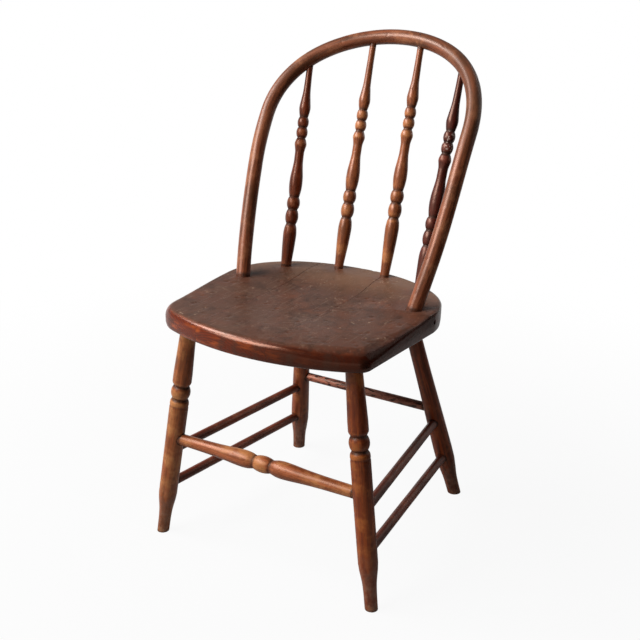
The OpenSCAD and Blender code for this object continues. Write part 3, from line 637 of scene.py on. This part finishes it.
spindle_top_d, spindle_past = 11.8, 2
brad_d, brad_head_d, brad_head_t, brad_len = 1.6, 3.2, 0.8, 20
brad_back = bow_at(direction_at(inner_right_x))[2][0]
brad_front = inner_right_top - brad_back * bow_d / 2
# holes for the spindles' tips, the screws and the brad
brad_hole = bore(brad_head_d, -3, brad_head_t) + bore(brad_d, brad_head_t + 0.1, brad_len + spare_depth)
bow_holes = [(bore(spindle_top_d, -spindle_past - spare_depth, 30), top, foot)
             for foot, top, _, _ in spindle_lines.values()]
bow_holes += [(screw_hole, mirrored(screw_mouth, side), mirrored(screw_target, side)) for side in (-1, 1)]
carve(bow, bow_holes)
carve(bow, [(brad_hole, brad_front, inner_right_top)])


def varnished_wood(name, body, late, patchy, deep, rubbed, bare, rub, gloss=0.4, coat=0.15):
    """Stained and varnished wood, grain along one axis.

    body and late are the two colours of the figure, patchy is where the stain took more
    darkly, deep is the stain and dirt that lie in hollows, rubbed is the lighter stain on
    worn crests and bare the wood itself where the varnish is gone.  rub moves the line
    between them.  The attribute "dull" marks where the varnish has gone flat and dark.
    """
    made = bpy.data.materials.new(name)
    t = bare_tree(made)
    place = add(t, "Attribute", attribute_name="rod", out="Vector")
    hollow, crest, dull = [add(t, "Attribute", attribute_name=kind, out="Fac")
                           for kind in ("hollow", "crest", "dull")]
    # figure: late wood in bands about 5 mm wide and 100 mm long
    drawn = add(t, "Mapping", {"Vector": place, "Scale": (1, 1, 0.05)})
    figure = add(t, "TexNoise", {"Vector": drawn, "Scale": 1 / 0.005, "Detail": 3, "Roughness": 0.55,
                                 "Distortion": 0.4}, out="Fac")
    figure = add(t, "MapRange", {"Value": figure, "From Min": 0.4, "From Max": 0.6},
                 interpolation_type="SMOOTHSTEP")
    # pores: dark dashes 25 mm long, drawn 1.3 mm wide so that they show
    pores = add(t, "TexNoise", {"Vector": drawn, "Scale": 1 / 0.0013, "Detail": 2, "Roughness": 0.6},
                out="Fac")
    pore_lines = add(t, "MapRange", {"Value": pores, "From Min": 0.58, "From Max": 0.7, "To Max": 0.6})
    # the stain took unevenly: darker, greener stretches some 100 mm long
    drawn = add(t, "Mapping", {"Vector": place, "Scale": (1, 1, 0.3)})
    uneven = add(t, "TexNoise", {"Vector": drawn, "Scale": 1 / 0.03, "Detail": 3, "Roughness": 0.6},
                 out="Fac")
    uneven = add(t, "MapRange", {"Value": uneven, "From Min": 0.45, "From Max": 0.66, "To Max": 0.8},
                 interpolation_type="SMOOTHSTEP")
    # worn places: patches, more on the crests, broken up along the grain
    clouds = add(t, "TexNoise", {"Vector": place, "Scale": 1 / 0.045, "Detail": 3, "Roughness": 0.6},
                 out="Fac")
    fine = add(t, "TexNoise", {"Vector": place, "Scale": 1 / 0.006, "Detail": 4, "Roughness": 0.65},
               out="Fac")
    patches = clouds
    for part, share in ((crest, 0.28), (fine, 0.22), (pores, 0.25)):
        patches = add(t, "Math", {0: part, 1: share, 2: patches}, operation="MULTIPLY_ADD")
    kept = 0.2 * rub
    rubbed_at = add(t, "MapRange", {"Value": patches, "From Min": 0.62 + kept, "From Max": 0.86 + kept},
                    interpolation_type="SMOOTHSTEP")
    bare_at = add(t, "MapRange", {"Value": patches, "From Min": 0.93 + kept, "From Max": 1.0 + kept})
    # dirt in the hollows, and dark flat patches where the varnish has gone dull
    dirt = add(t, "MapRange", {"Value": fine, "From Min": 0.3, "From Max": 0.6, "To Min": 0.55})
    dirt = add(t, "Math", {0: hollow, 1: dirt}, operation="MULTIPLY")
    dull_patches = add(t, "Math", {0: dull, 1: fine}, operation="MULTIPLY")
    tone = linear(body)
    for cover, laid in [(figure, late), (uneven, patchy), (rubbed_at, rubbed), (bare_at, bare),
                        (pore_lines, deep), (dirt, deep), (dull_patches, patchy)]:
        tone = add(t, "Mix", {FACTOR: cover, UNDER: tone, OVER: linear(laid)}, **AS_COLOURS)
    sheen = add(t, "MapRange", {"Value": rubbed_at, "To Min": gloss, "To Max": gloss + 0.12})
    uneven_sheen = add(t, "MapRange", {"Value": fine, "To Min": -0.06, "To Max": 0.06})
    for part, share in ((dirt, 0.4), (uneven_sheen, 1.0), (dull, 0.25)):
        sheen = add(t, "Math", {0: part, 1: share, 2: sheen}, operation="MULTIPLY_ADD")
    relief = add(t, "Bump", {"Height": pores, "Strength": 0.2, "Distance": 0.0002})
    relief = add(t, "Bump", {"Height": fine, "Strength": 0.12, "Distance": 0.0005, "Normal": relief})
    surface = add(t, "BsdfPrincipled", {"Base Color": tone, "Roughness": sheen, "IOR": 1.44,
                                        "Specular Tint": linear("#ffc09f"), "Coat Weight": coat,
                                        "Coat Roughness": 0.36, "Normal": relief})
    add(t, "OutputMaterial", {"Surface": surface})
    return made


# Ash under brown stain and old varnish: long open pores, pinkish-brown shine
bow_wood = varnished_wood("varnished_ash", body="#7b4228", late="#572914", patchy="#3d2210",
                          deep="#240f07", rubbed="#8c583a", bare="#b08560", gloss=0.36, rub=0.55, coat=0.3)
place = points_of(bow)
store(bow, "dull", 0.9 * ease(place[:, 0], 60, 150) * ease(place[:, 2], 640, 740)
      + 0.5 * ease(-place[:, 0], 90, 170) * ease(place[:, 2], 640, 740))
place[:, 1] -= feet_line
nearest = np.zeros(len(place), int)
for i in range(0, len(place), 4000):
    part = place[i:i + 4000, None, :] - centre[None]
    nearest[i:i + 4000] = np.argmin((part ** 2).sum(2), 1)
off = place - centre[nearest]
along_rod = travel[nearest] + (off * way[nearest]).sum(1)
across_rod = [(off * back[nearest]).sum(1), (off * side_way[nearest]).sum(1)]
store(bow, "rod", np.column_stack([*across_rod, along_rod]) * MM)
foot_near = np.minimum(along_rod, travel[-1] - along_rod) - bow_in_seat
in_hole = np.zeros(len(place))
for foot, top, _, _ in spindle_lines.values():
    line = unit(top - foot)
    reach = np.linalg.norm(np.cross(place - top, line), axis=1)
    inside = (reach < spindle_top_d / 2 + 1.0) & ((place - top) @ line < 0)
    in_hole = np.maximum(in_hole, np.where(inside, 0.9, 0))
store(bow, "hollow", np.maximum(in_hole, 0.9 * (1 - ease(foot_near, 0.5, 4))))
store(bow, "crest", np.zeros(len(place)))
show(bow, bow_wood, "bow", "bow")

# ---- Spindles -------------------------------------------------------------
# Four of birch, turned by hand to one pattern at slightly different places along
# the stick, stained, varnished and glued into the seat and the bow.


def smooth(stations, steps=8):
    """Points of a smooth outline through a few (place, radius) stations."""
    z, r = np.array(stations, float).T
    chord = np.diff(r) / np.diff(z)
    slope = np.zeros(len(z))
    slope[0], slope[-1] = chord[0], chord[-1]
    for i in range(1, len(z) - 1):
        a, b = chord[i - 1], chord[i]
        slope[i] = 0 if a * b <= 0 else 2 * a * b / (a + b)
    made = []
    for i in range(len(z) - 1):
        w = z[i + 1] - z[i]
        for u in np.arange(steps) / steps:
            near = (2 * u ** 3 - 3 * u ** 2 + 1) * r[i] + (u ** 3 - 2 * u ** 2 + u) * w * slope[i]
            far = (3 * u ** 2 - 2 * u ** 3) * r[i + 1] + (u ** 3 - u ** 2) * w * slope[i + 1]
            made.append((z[i] + u * w, near + far))
    return made + [(z[-1], r[-1])]


def bead(at, half, neck_r, bead_r, steps=18):
    """A round bead between two sharp necks."""
    return [(at + u * half, neck_r + (bead_r - neck_r) * math.cos(math.pi / 2 * u) ** 0.7)
            for u in (2 * i / steps - 1 for i in range(steps + 1))]


def turned_piece(name, stations, start, end, sides, finest, seed, bruises=0.7):
    """A turned stick, with the small flats and bruises of age, stood from start towards end."""
    fine = [stations[0]]
    for (z0, r0), (z1, r1) in zip(stations, stations[1:]):
        if z1 - z0 < 0.02:
            continue
        parts = max(1, math.ceil((z1 - z0) / finest))
        fine += [(z0 + (z1 - z0) * i / parts, r0 + (r1 - r0) * i / parts) for i in range(1, parts + 1)]
    points, faces = lathe(fine, sides)
    for i, p in enumerate(points):
        r = math.hypot(p[0], p[1])
        x, y, z = p[0] / r, p[1] / r, p[2] / MM
        flat = max(0, noise.noise(Vector((x + seed, y, z / 60)))) * 0.25
        bruise = max(0, noise.noise(Vector((x * 2.4, y * 2.4 + seed, z / 7))) - 0.4) * bruises
        points[i, :2] *= 1 - (flat + bruise) * MM / r
    matrix = standing(start, end)
    return new_object(name, [matrix @ Vector(v) for v in points], faces)


def wear(piece, stations, start, end, meets, holes=()):
    """Stores the way along and across the stick, for its grain, and where dirt settles
    and where hands and feet rub: the necks, the crests, the places where the piece
    meets another, and round the holes in it."""
    inverse = standing(start, end).inverted()
    z, r = np.array(stations, float).T
    even = np.arange(z[0], z[-1], 0.5)
    radius = np.interp(even, z, r)
    broad = np.convolve(np.pad(radius, 14, "edge"), np.ones(29) / 29, "valid")
    at = points_of(piece) @ np.array(inverse.to_3x3()).T + np.array(inverse.translation) / MM
    store(piece, "rod", at * MM)
    lift = radius - broad
    settled = np.convolve(np.pad(np.clip(-lift / 1.2, 0, 1), 3, "edge"), np.ones(7) / 7, "valid")
    hollow = np.interp(at[:, 2], even, np.clip(1.5 * settled, 0, 0.92))
    crest = np.clip(np.interp(at[:, 2], even, lift) / 1.3, 0, 1)
    for place in meets:
        hollow = np.maximum(hollow, 0.95 * (1 - ease(abs(at[:, 2] - place), 1.0, 4)))
    for near, far, d in holes:
        a, b = np.array(inverse @ row(near)) / MM, np.array(inverse @ row(far)) / MM
        reach = np.linalg.norm(np.cross(at - a, unit(b - a)), axis=1)
        ahead = (at - a) @ unit(b - a) > 0
        hollow = np.maximum(hollow, np.where(ahead, 0.95 * (1 - ease(reach, d / 2 + 0.6, d / 2 + 2.2)), 0))
    store(piece, "hollow", hollow)
    store(piece, "crest", crest)


pattern_scale = np.linalg.norm(outer_right_top - outer_foot) / 384.8
vase_r = 12.3


def spindle_stations(length, drop, foot_r):
    """Outline down from the bow: neck, upper vase, two beads, long vase, two beads, lower vase."""
    def laid(stations):
        return [(z * pattern_scale + drop, r) for z, r in stations]
    top_r = spindle_top_d / 2
    return ([(-spindle_past, top_r - 0.6), (-spindle_past + 0.6, top_r)]
            + smooth([(27 * pattern_scale + drop * 0.4, top_r)]
                     + laid([(46, 6.8), (64, 9), (76, 10.4), (85, 9.3), (92, 7.6)]))
            + laid(bead(102, 9, 7.6, 10.3)) + laid(bead(120.5, 9, 7.6, 10.4))
            + smooth(laid([(131.2, 7.6), (135, 9.5), (142, 11), (149, 9.6), (157, 8.4), (172, 8.4),
                           (188, 9.9), (203, 11.7), (215, 12.1), (227, 11.2), (239, 9)]))
            + laid(bead(250, 10.5, 9, 12.1)) + laid(bead(275, 12.5, 8.9, 12.1))
            + smooth(laid([(289, 9), (296, 11.2), (308, vase_r), (322, vase_r - 0.4)])
                     + [(length - 8, foot_r)])
            + [(length + spindle_in_seat - 1, foot_r), (length + spindle_in_seat, foot_r - 1)])


def lay_over(material, cover, colour):
    """Lays another colour over a material's own, where cover is 1."""
    t = material.node_tree
    shader = next(n for n in t.nodes if n.type == "BSDF_PRINCIPLED")
    under = shader.inputs["Base Color"].links[0].from_socket
    over = add(t, "Mix", {FACTOR: cover, UNDER: under, OVER: linear(colour)}, **AS_COLOURS)
    t.links.new(over, shader.inputs["Base Color"])


# Birch, red-brown, glossy where hands have polished it
spindle_wood = varnished_wood("varnished_birch", body="#8b4c2a", late="#683419", patchy="#512a13",
                              deep="#361a09", rubbed="#a0643a", bare="#bd9163",
                              gloss=0.34, rub=0.52, coat=0.35)
# The outer left spindle took more stain
brown_spindle_wood = varnished_wood("brown_varnished_birch", body="#6c2c12", late="#4c1c09",
                                    patchy="#381306", deep="#250d05", rubbed="#7f4426", bare="#a57a54",
                                    gloss=0.35, rub=0.62)
# The outer right spindle is darker and more purple
dark_spindle_wood = varnished_wood("dark_varnished_birch", body="#4a1a12", late="#340f09",
                                   patchy="#250a07", deep="#150503", rubbed="#653024", bare="#9c7c6e",
                                   gloss=0.36, rub=0.7)
# whitish flakes, 1 to 3 mm, cling to its upper beads
t = dark_spindle_wood.node_tree
flaked = add(t, "Attribute", attribute_name="flaked", out="Fac")
specks = add(t, "TexNoise", {"Vector": add(t, "Attribute", attribute_name="rod", out="Vector"),
                             "Scale": 1 / 0.0035, "Detail": 2, "Roughness": 0.5}, out="Fac")
specks = add(t, "MapRange", {"Value": specks, "From Min": 0.56, "From Max": 0.64, "To Max": 0.85})
lay_over(dark_spindle_wood, add(t, "Math", {0: specks, 1: flaked}, operation="MULTIPLY"), "#a39085")
spindle_woods = {"outer_left": brown_spindle_wood, "outer_right": dark_spindle_wood}
for number, (name, (foot, top, foot_d, drop)) in enumerate(spindle_lines.items()):
    length = np.linalg.norm(top - foot)
    stations = spindle_stations(length, drop, foot_d / 2)
    spindle = turned_piece(name + "_spindle", stations, top, foot, sides=60, finest=1.3, seed=3.1 * number)
    if name == "inner_right":
        carve(spindle, [(brad_hole, brad_front, inner_right_top)])
    wear(spindle, stations, top, foot, meets=[bow_d / 2 + 1, length])
    if name == "outer_right":
        down = np.linalg.norm(points_of(spindle) - np.array(row(top)) / MM, axis=1)
        store(spindle, "flaked", ease(down, 106, 114) * (1 - ease(down, 140, 150)))
    show(spindle, spindle_woods.get(name, spindle_wood), "spindles", "spindle_" + name)

# ---- Legs -----------------------------------------------------------------
# Birch, turned with a tapered foot, the front ones with a ring too, set blind in
# the seat and sawn level with the floor.  The feet are scuffed grey-brown.
foot_len = 80
stretcher_past = 3
plain_d, front_end_d = 16.4, 20


def leg_line(foot, top, z):
    """The point of a leg's middle line at height z."""
    return foot + (top - foot) * z / top[2]


front_ends = [leg_line(front_foot, front_top, 189.5) * [-1, 1, 1], leg_line(front_foot, front_top, 192.5)]
rear_end = leg_line(rear_foot, rear_top, 190.8)
side_heights = {"upper": (166, 164.5), "lower": (96, 87.5)}


def shared_out(stations, start, end):
    """Stations given as shares of the way from start to end."""
    return [(start + (end - start) * share, r) for share, r in stations]


def front_leg_stations(length):
    """Outline from the floor up: tapered foot, scored line, ring and long vase."""
    r, f, s, top_r = 16.4, 10.7, foot_len / 80, leg_top_d / 2
    ring, mouth = 281, length - leg_in_seat * 1.2
    score = ring - 26
    return ([(-8, f)] + smooth([(6, f), (25 * s, f + 0.2), (42 * s, f + 0.9), (54 * s, f + 2.2),
                                (68 * s, r - 1.4), (foot_len, r - 0.3)])
            + smooth([(score - 3, r - 0.1), (score, r - 0.6), (score + 3, r - 0.1)])
            + smooth([(ring - 22, r - 0.1), (ring - 18, r - 0.5), (ring - 12.2, 12.6)])
            + bead(ring, 11.6, 12.6, r + 0.2)
            + smooth(shared_out([(0, 12.8), (0.07, r - 0.2), (0.18, r - 0.2), (0.34, r - 0.8),
                                 (0.62, r - 1.9), (0.93, top_r + 0.2), (1, top_r)], ring + 12.2, mouth))
            + [(length - 1, top_r), (length, top_r - 1)])


def rear_leg_stations(length):
    """Outline from the floor up: tapered foot and long plain vase."""
    r, f, s, top_r = 17.7, 12.3, foot_len / 80, leg_top_d / 2
    mouth = length - leg_in_seat * 1.3
    return ([(-8, f)] + smooth([(6, f), (30 * s, f + 0.5), (44 * s, f + 1.2), (58 * s, f + 2.9),
                                (70 * s, r - 1.4), (foot_len + 2, r - 0.2)])
            + smooth(shared_out([(0.09, r), (0.31, r - 1.2), (0.44, r - 2), (0.62, r - 3.2),
                                 (0.97, top_r + 0.3), (1, top_r)], foot_len, mouth))
            + [(length - 1, top_r), (length, top_r - 1)])


def saw_level(piece):
    """Saws a leg off at the floor and closes the cut."""
    shape = bmesh.new()
    shape.from_mesh(piece.data)
    edge = slice_at(shape, (0, 0, 0), (0, 0, 1), clear_inner=True)
    bmesh.ops.holes_fill(shape, edges=edge, sides=0)
    shape.to_mesh(piece.data)
    shape.free()


def stretcher_hole(end, far, d):
    """The hole in a leg that takes a stretcher's end."""
    return bore(d, -stretcher_past - spare_depth, 40), end, far


leg_woods = [varnished_wood("varnished_birch_leg_" + name, body=body, late=late, patchy=patchy,
                            deep="#1a0b05", rubbed=rubbed, bare="#a07a54", gloss=0.42, rub=rub)
             for name, body, late, patchy, rubbed, rub in [
                 ("front_left", "#854522", "#663215", "#4f2912", "#996338", 0.3),
                 ("front_right", "#75330f", "#592108", "#431405", "#8f4f22", 0.5),
                 ("rear_left", "#783515", "#56230c", "#421907", "#8c502a", 0.5),
                 ("rear_right", "#803512", "#501b06", "#3c1305", "#84421c", 0.6)]]
# the feet are scuffed grey-brown
for wood in leg_woods:
    t = wood.node_tree
    low = add(t, "Attribute", attribute_name="foot", out="Fac")
    rough = add(t, "TexNoise", {"Vector": add(t, "Attribute", attribute_name="rod", out="Vector"),
                                "Scale": 1 / 0.012, "Detail": 5, "Roughness": 0.65}, out="Fac")
    rough = add(t, "MapRange", {"Value": rough, "From Min": 0.4, "From Max": 0.62})
    lay_over(wood, add(t, "Math", {0: low, 1: rough}, operation="MULTIPLY"), "#6f5140")
for number, (end, side, foot, top, outline_of) in enumerate([
        ("front", -1, front_foot, front_top, front_leg_stations),
        ("front", 1, front_foot, front_top, front_leg_stations),
        ("rear", -1, rear_foot, rear_top, rear_leg_stations),
        ("rear", 1, rear_foot, rear_top, rear_leg_stations)]):
    far_foot, far_top = (rear_foot, rear_top) if end == "front" else (front_foot, front_top)
    near, far = (0, 1) if end == "front" else (1, 0)
    length = np.linalg.norm(top - foot)
    stations = outline_of(length)
    name = end + ("_left" if side < 0 else "_right")
    leg = turned_piece(name + "_leg", stations, mirrored(foot, side), mirrored(top, side), sides=72,
                       finest=1.6, seed=11 + 2.7 * number, bruises=1.4)
    saw_level(leg)
    holes = [stretcher_hole(mirrored(leg_line(foot, top, heights[near]), side),
                            mirrored(leg_line(far_foot, far_top, heights[far]), side), plain_d)
             for heights in side_heights.values()]
    if end == "front":
        holes.append(stretcher_hole(*front_ends[::-side], front_end_d))     # near end first
    else:
        holes.append(stretcher_hole(mirrored(rear_end, side), mirrored(rear_end, -side), plain_d))
    carve(leg, holes)
    wear(leg, stations, mirrored(foot, side), mirrored(top, side),
         meets=[length - leg_in_seat / np.dot(unit(top - foot), [0, 0, 1]), 0],
         holes=[(near_end, far_end, 2 * shape[0][1]) for shape, near_end, far_end in holes])
    store(leg, "foot", 0.75 * (1 - ease(points_of(leg)[:, 2], 20, 130)))
    show(leg, leg_woods[number], "legs", end + "_leg" + ("_left" if side < 0 else "_right"))

# ---- Stretchers -----------------------------------------------------------
# The front one is turned, its stain rubbed to amber by shoes.  The rear and
# side ones are plain dowels in darker varnish.
r, front_end_r = 14.6, front_end_d / 2      # at its fattest and at its ends
half = np.linalg.norm(front_ends[1] - front_ends[0]) / 2
right_part = (smooth([(16.5, 11.3), (20.5, 12.2), (28, r - 0.7), (38, r), (52, r - 0.5), (0.4 * half, r - 2),
                      (0.51 * half, r - 3.1), (0.65 * half, r - 3.9), (half - 32, front_end_r + 0.2),
                      (half - 22, front_end_r)])
              + [(half + stretcher_past - 0.8, front_end_r), (half + stretcher_past, front_end_r - 0.8)])
stations = [(-z, radius) for z, radius in right_part[::-1]] + bead(0, 15.5, 11.3, r - 0.4) + right_part
front_middle = (front_ends[0] + front_ends[1]) / 2
front_stretcher = turned_piece("front_turned_stretcher", stations, front_middle, front_ends[1],
                               sides=64, finest=1.4, seed=31, bruises=1.2)
wear(front_stretcher, stations, front_middle, front_ends[1], meets=[half - 15.5, 15.5 - half])
amber_wood = varnished_wood("rubbed_maple", body="#8a4a2a", late="#6a351a", patchy="#683218",
                            deep="#260f06", rubbed="#9a6238", bare="#b48a60", gloss=0.38, rub=0.3)
show(front_stretcher, amber_wood, "front_stretcher", "front_stretcher")

dowel_wood = varnished_wood("varnished_dowel", body="#622712", late="#431609", patchy="#300e06",
                            deep="#150603", rubbed="#6e3c26", bare="#936a48", rub=0.55)
crazed_wood = varnished_wood("crazed_dowel_varnish", body="#aa6853", late="#764434", patchy="#55291c",
                             deep="#120605", rubbed="#7d5244", bare="#947262", rub=0.3)
# its varnish has crept into dark islands, 5 to 15 mm, with paler gaps
t = crazed_wood.node_tree
drawn = add(t, "Mapping", {"Vector": add(t, "Attribute", attribute_name="rod", out="Vector"),
                           "Scale": (1, 1, 0.45)})
islands = add(t, "TexNoise", {"Vector": drawn, "Scale": 1 / 0.009, "Detail": 3, "Roughness": 0.55,
                              "Distortion": 0.8}, out="Fac")
lay_over(crazed_wood, add(t, "MapRange", {"Value": islands, "From Min": 0.5, "From Max": 0.58}), "#1f0c08")
dowels = [("rear_dowel", "rear_stretcher", mirrored(rear_end, -1), rear_end)]
for level_name, (front_h, rear_h) in side_heights.items():
    for side, side_name in ((-1, "left"), (1, "right")):
        name = level_name + "_" + side_name
        dowels.append((name + "_dowel", "side_stretcher_" + name,
                       mirrored(leg_line(front_foot, front_top, front_h), side),
                       mirrored(leg_line(rear_foot, rear_top, rear_h), side)))
for number, (name, node, start, end) in enumerate(dowels):
    span = np.linalg.norm(end - start)
    r = plain_d / 2
    stations = [(-stretcher_past, r - 0.7), (-stretcher_past + 0.7, r), (span + stretcher_past - 0.7, r),
                (span + stretcher_past, r - 0.7)]
    dowel = turned_piece(name, stations, start, end, sides=48, finest=2.2,
                         seed=47 + 1.9 * number, bruises=0.9)
    wear(dowel, stations, start, end, meets=[16, span - 17])
    show(dowel, crazed_wood if number == 0 else dowel_wood, "plain_stretchers", node)

# ---- Fastenings -----------------------------------------------------------
# Two countersunk iron screws in wells in the seat's sides, and one iron brad
# driven through the bow into the inner right spindle.
iron = bpy.data.materials.new("oxidised_iron")
tree = bare_tree(iron)
place = add(tree, "TexCoord", out="Object")
spots = add(tree, "TexNoise", {"Vector": place, "Scale": 1 / 0.0012, "Detail": 4, "Roughness": 0.6},
            out="Fac")
rust = add(tree, "MapRange", {"Value": spots, "From Min": 0.48, "From Max": 0.62})
colour = add(tree, "Mix", {FACTOR: rust, UNDER: linear("#3a3431"), OVER: linear("#4c2a1a")}, **AS_COLOURS)
rough = add(tree, "MapRange", {"Value": rust, "To Min": 0.42, "To Max": 0.8})
pitted = add(tree, "Bump", {"Height": spots, "Strength": 0.5, "Distance": 0.0001})
add(tree, "OutputMaterial", {"Surface": add(tree, "BsdfPrincipled", {"Base Color": colour, "Roughness": rough,
                                                                     "Metallic": 0.7, "Normal": pitted})})

screw_pitch, thread_rise = 1.6, 0.45
screw_points, screw_faces = [], []
for side in (-1, 1):
    stations = [(screw_sunk, 0.4), (screw_sunk, screw_head_d / 2 - 0.1), (screw_sunk + 0.5, screw_head_d / 2),
                (screw_sunk + screw_head_h, screw_d / 2)]
    thread_start, thread_end = screw_sunk + 10, screw_sunk + screw_len - 5
    stations += [(z, screw_d / 2) for z in np.arange(screw_sunk + 3.5, thread_end, 0.2)]
    stations += [(thread_end, screw_d / 2), (screw_sunk + screw_len, 0.3)]
    p, f = lathe(stations, 24)
    for i, v in enumerate(p):
        turn, z = math.atan2(v[1], v[0]) / (2 * math.pi), v[2] / MM
        if thread_start < z < thread_end:
            phase = (z / screw_pitch - turn) % 1
            p[i, :2] *= 1 - thread_rise * (1 - abs(2 * phase - 1)) / (screw_d / 2)
        if z < screw_sunk + 0.01 and abs(v[1]) < 0.0006:
            p[i, 2] += 0.9 * MM         # the slot for the driver
    matrix = standing(mirrored(screw_mouth, side), mirrored(screw_target, side))
    screw_faces += [tuple(v + len(screw_points) for v in face) for face in f]
    screw_points += [matrix @ Vector(v) for v in p]
show(new_object("bow_foot_screws", screw_points, screw_faces), iron, "iron", "bow_screws")

head_r, shank_r = brad_head_d / 2, brad_d / 2
points, faces = lathe([(0.15, 0.3), (0.02, head_r - 0.6), (0.2, head_r - 0.1), (0.4, head_r),
                       (brad_head_t - 0.1, head_r), (brad_head_t - 0.05, shank_r), (brad_len - 3, shank_r),
                       (brad_len, 0.2)], 24)
matrix = standing(brad_front, inner_right_top)
show(new_object("bow_brad", [matrix @ Vector(v) for v in points], faces), iron, "iron", "spindle_brad")
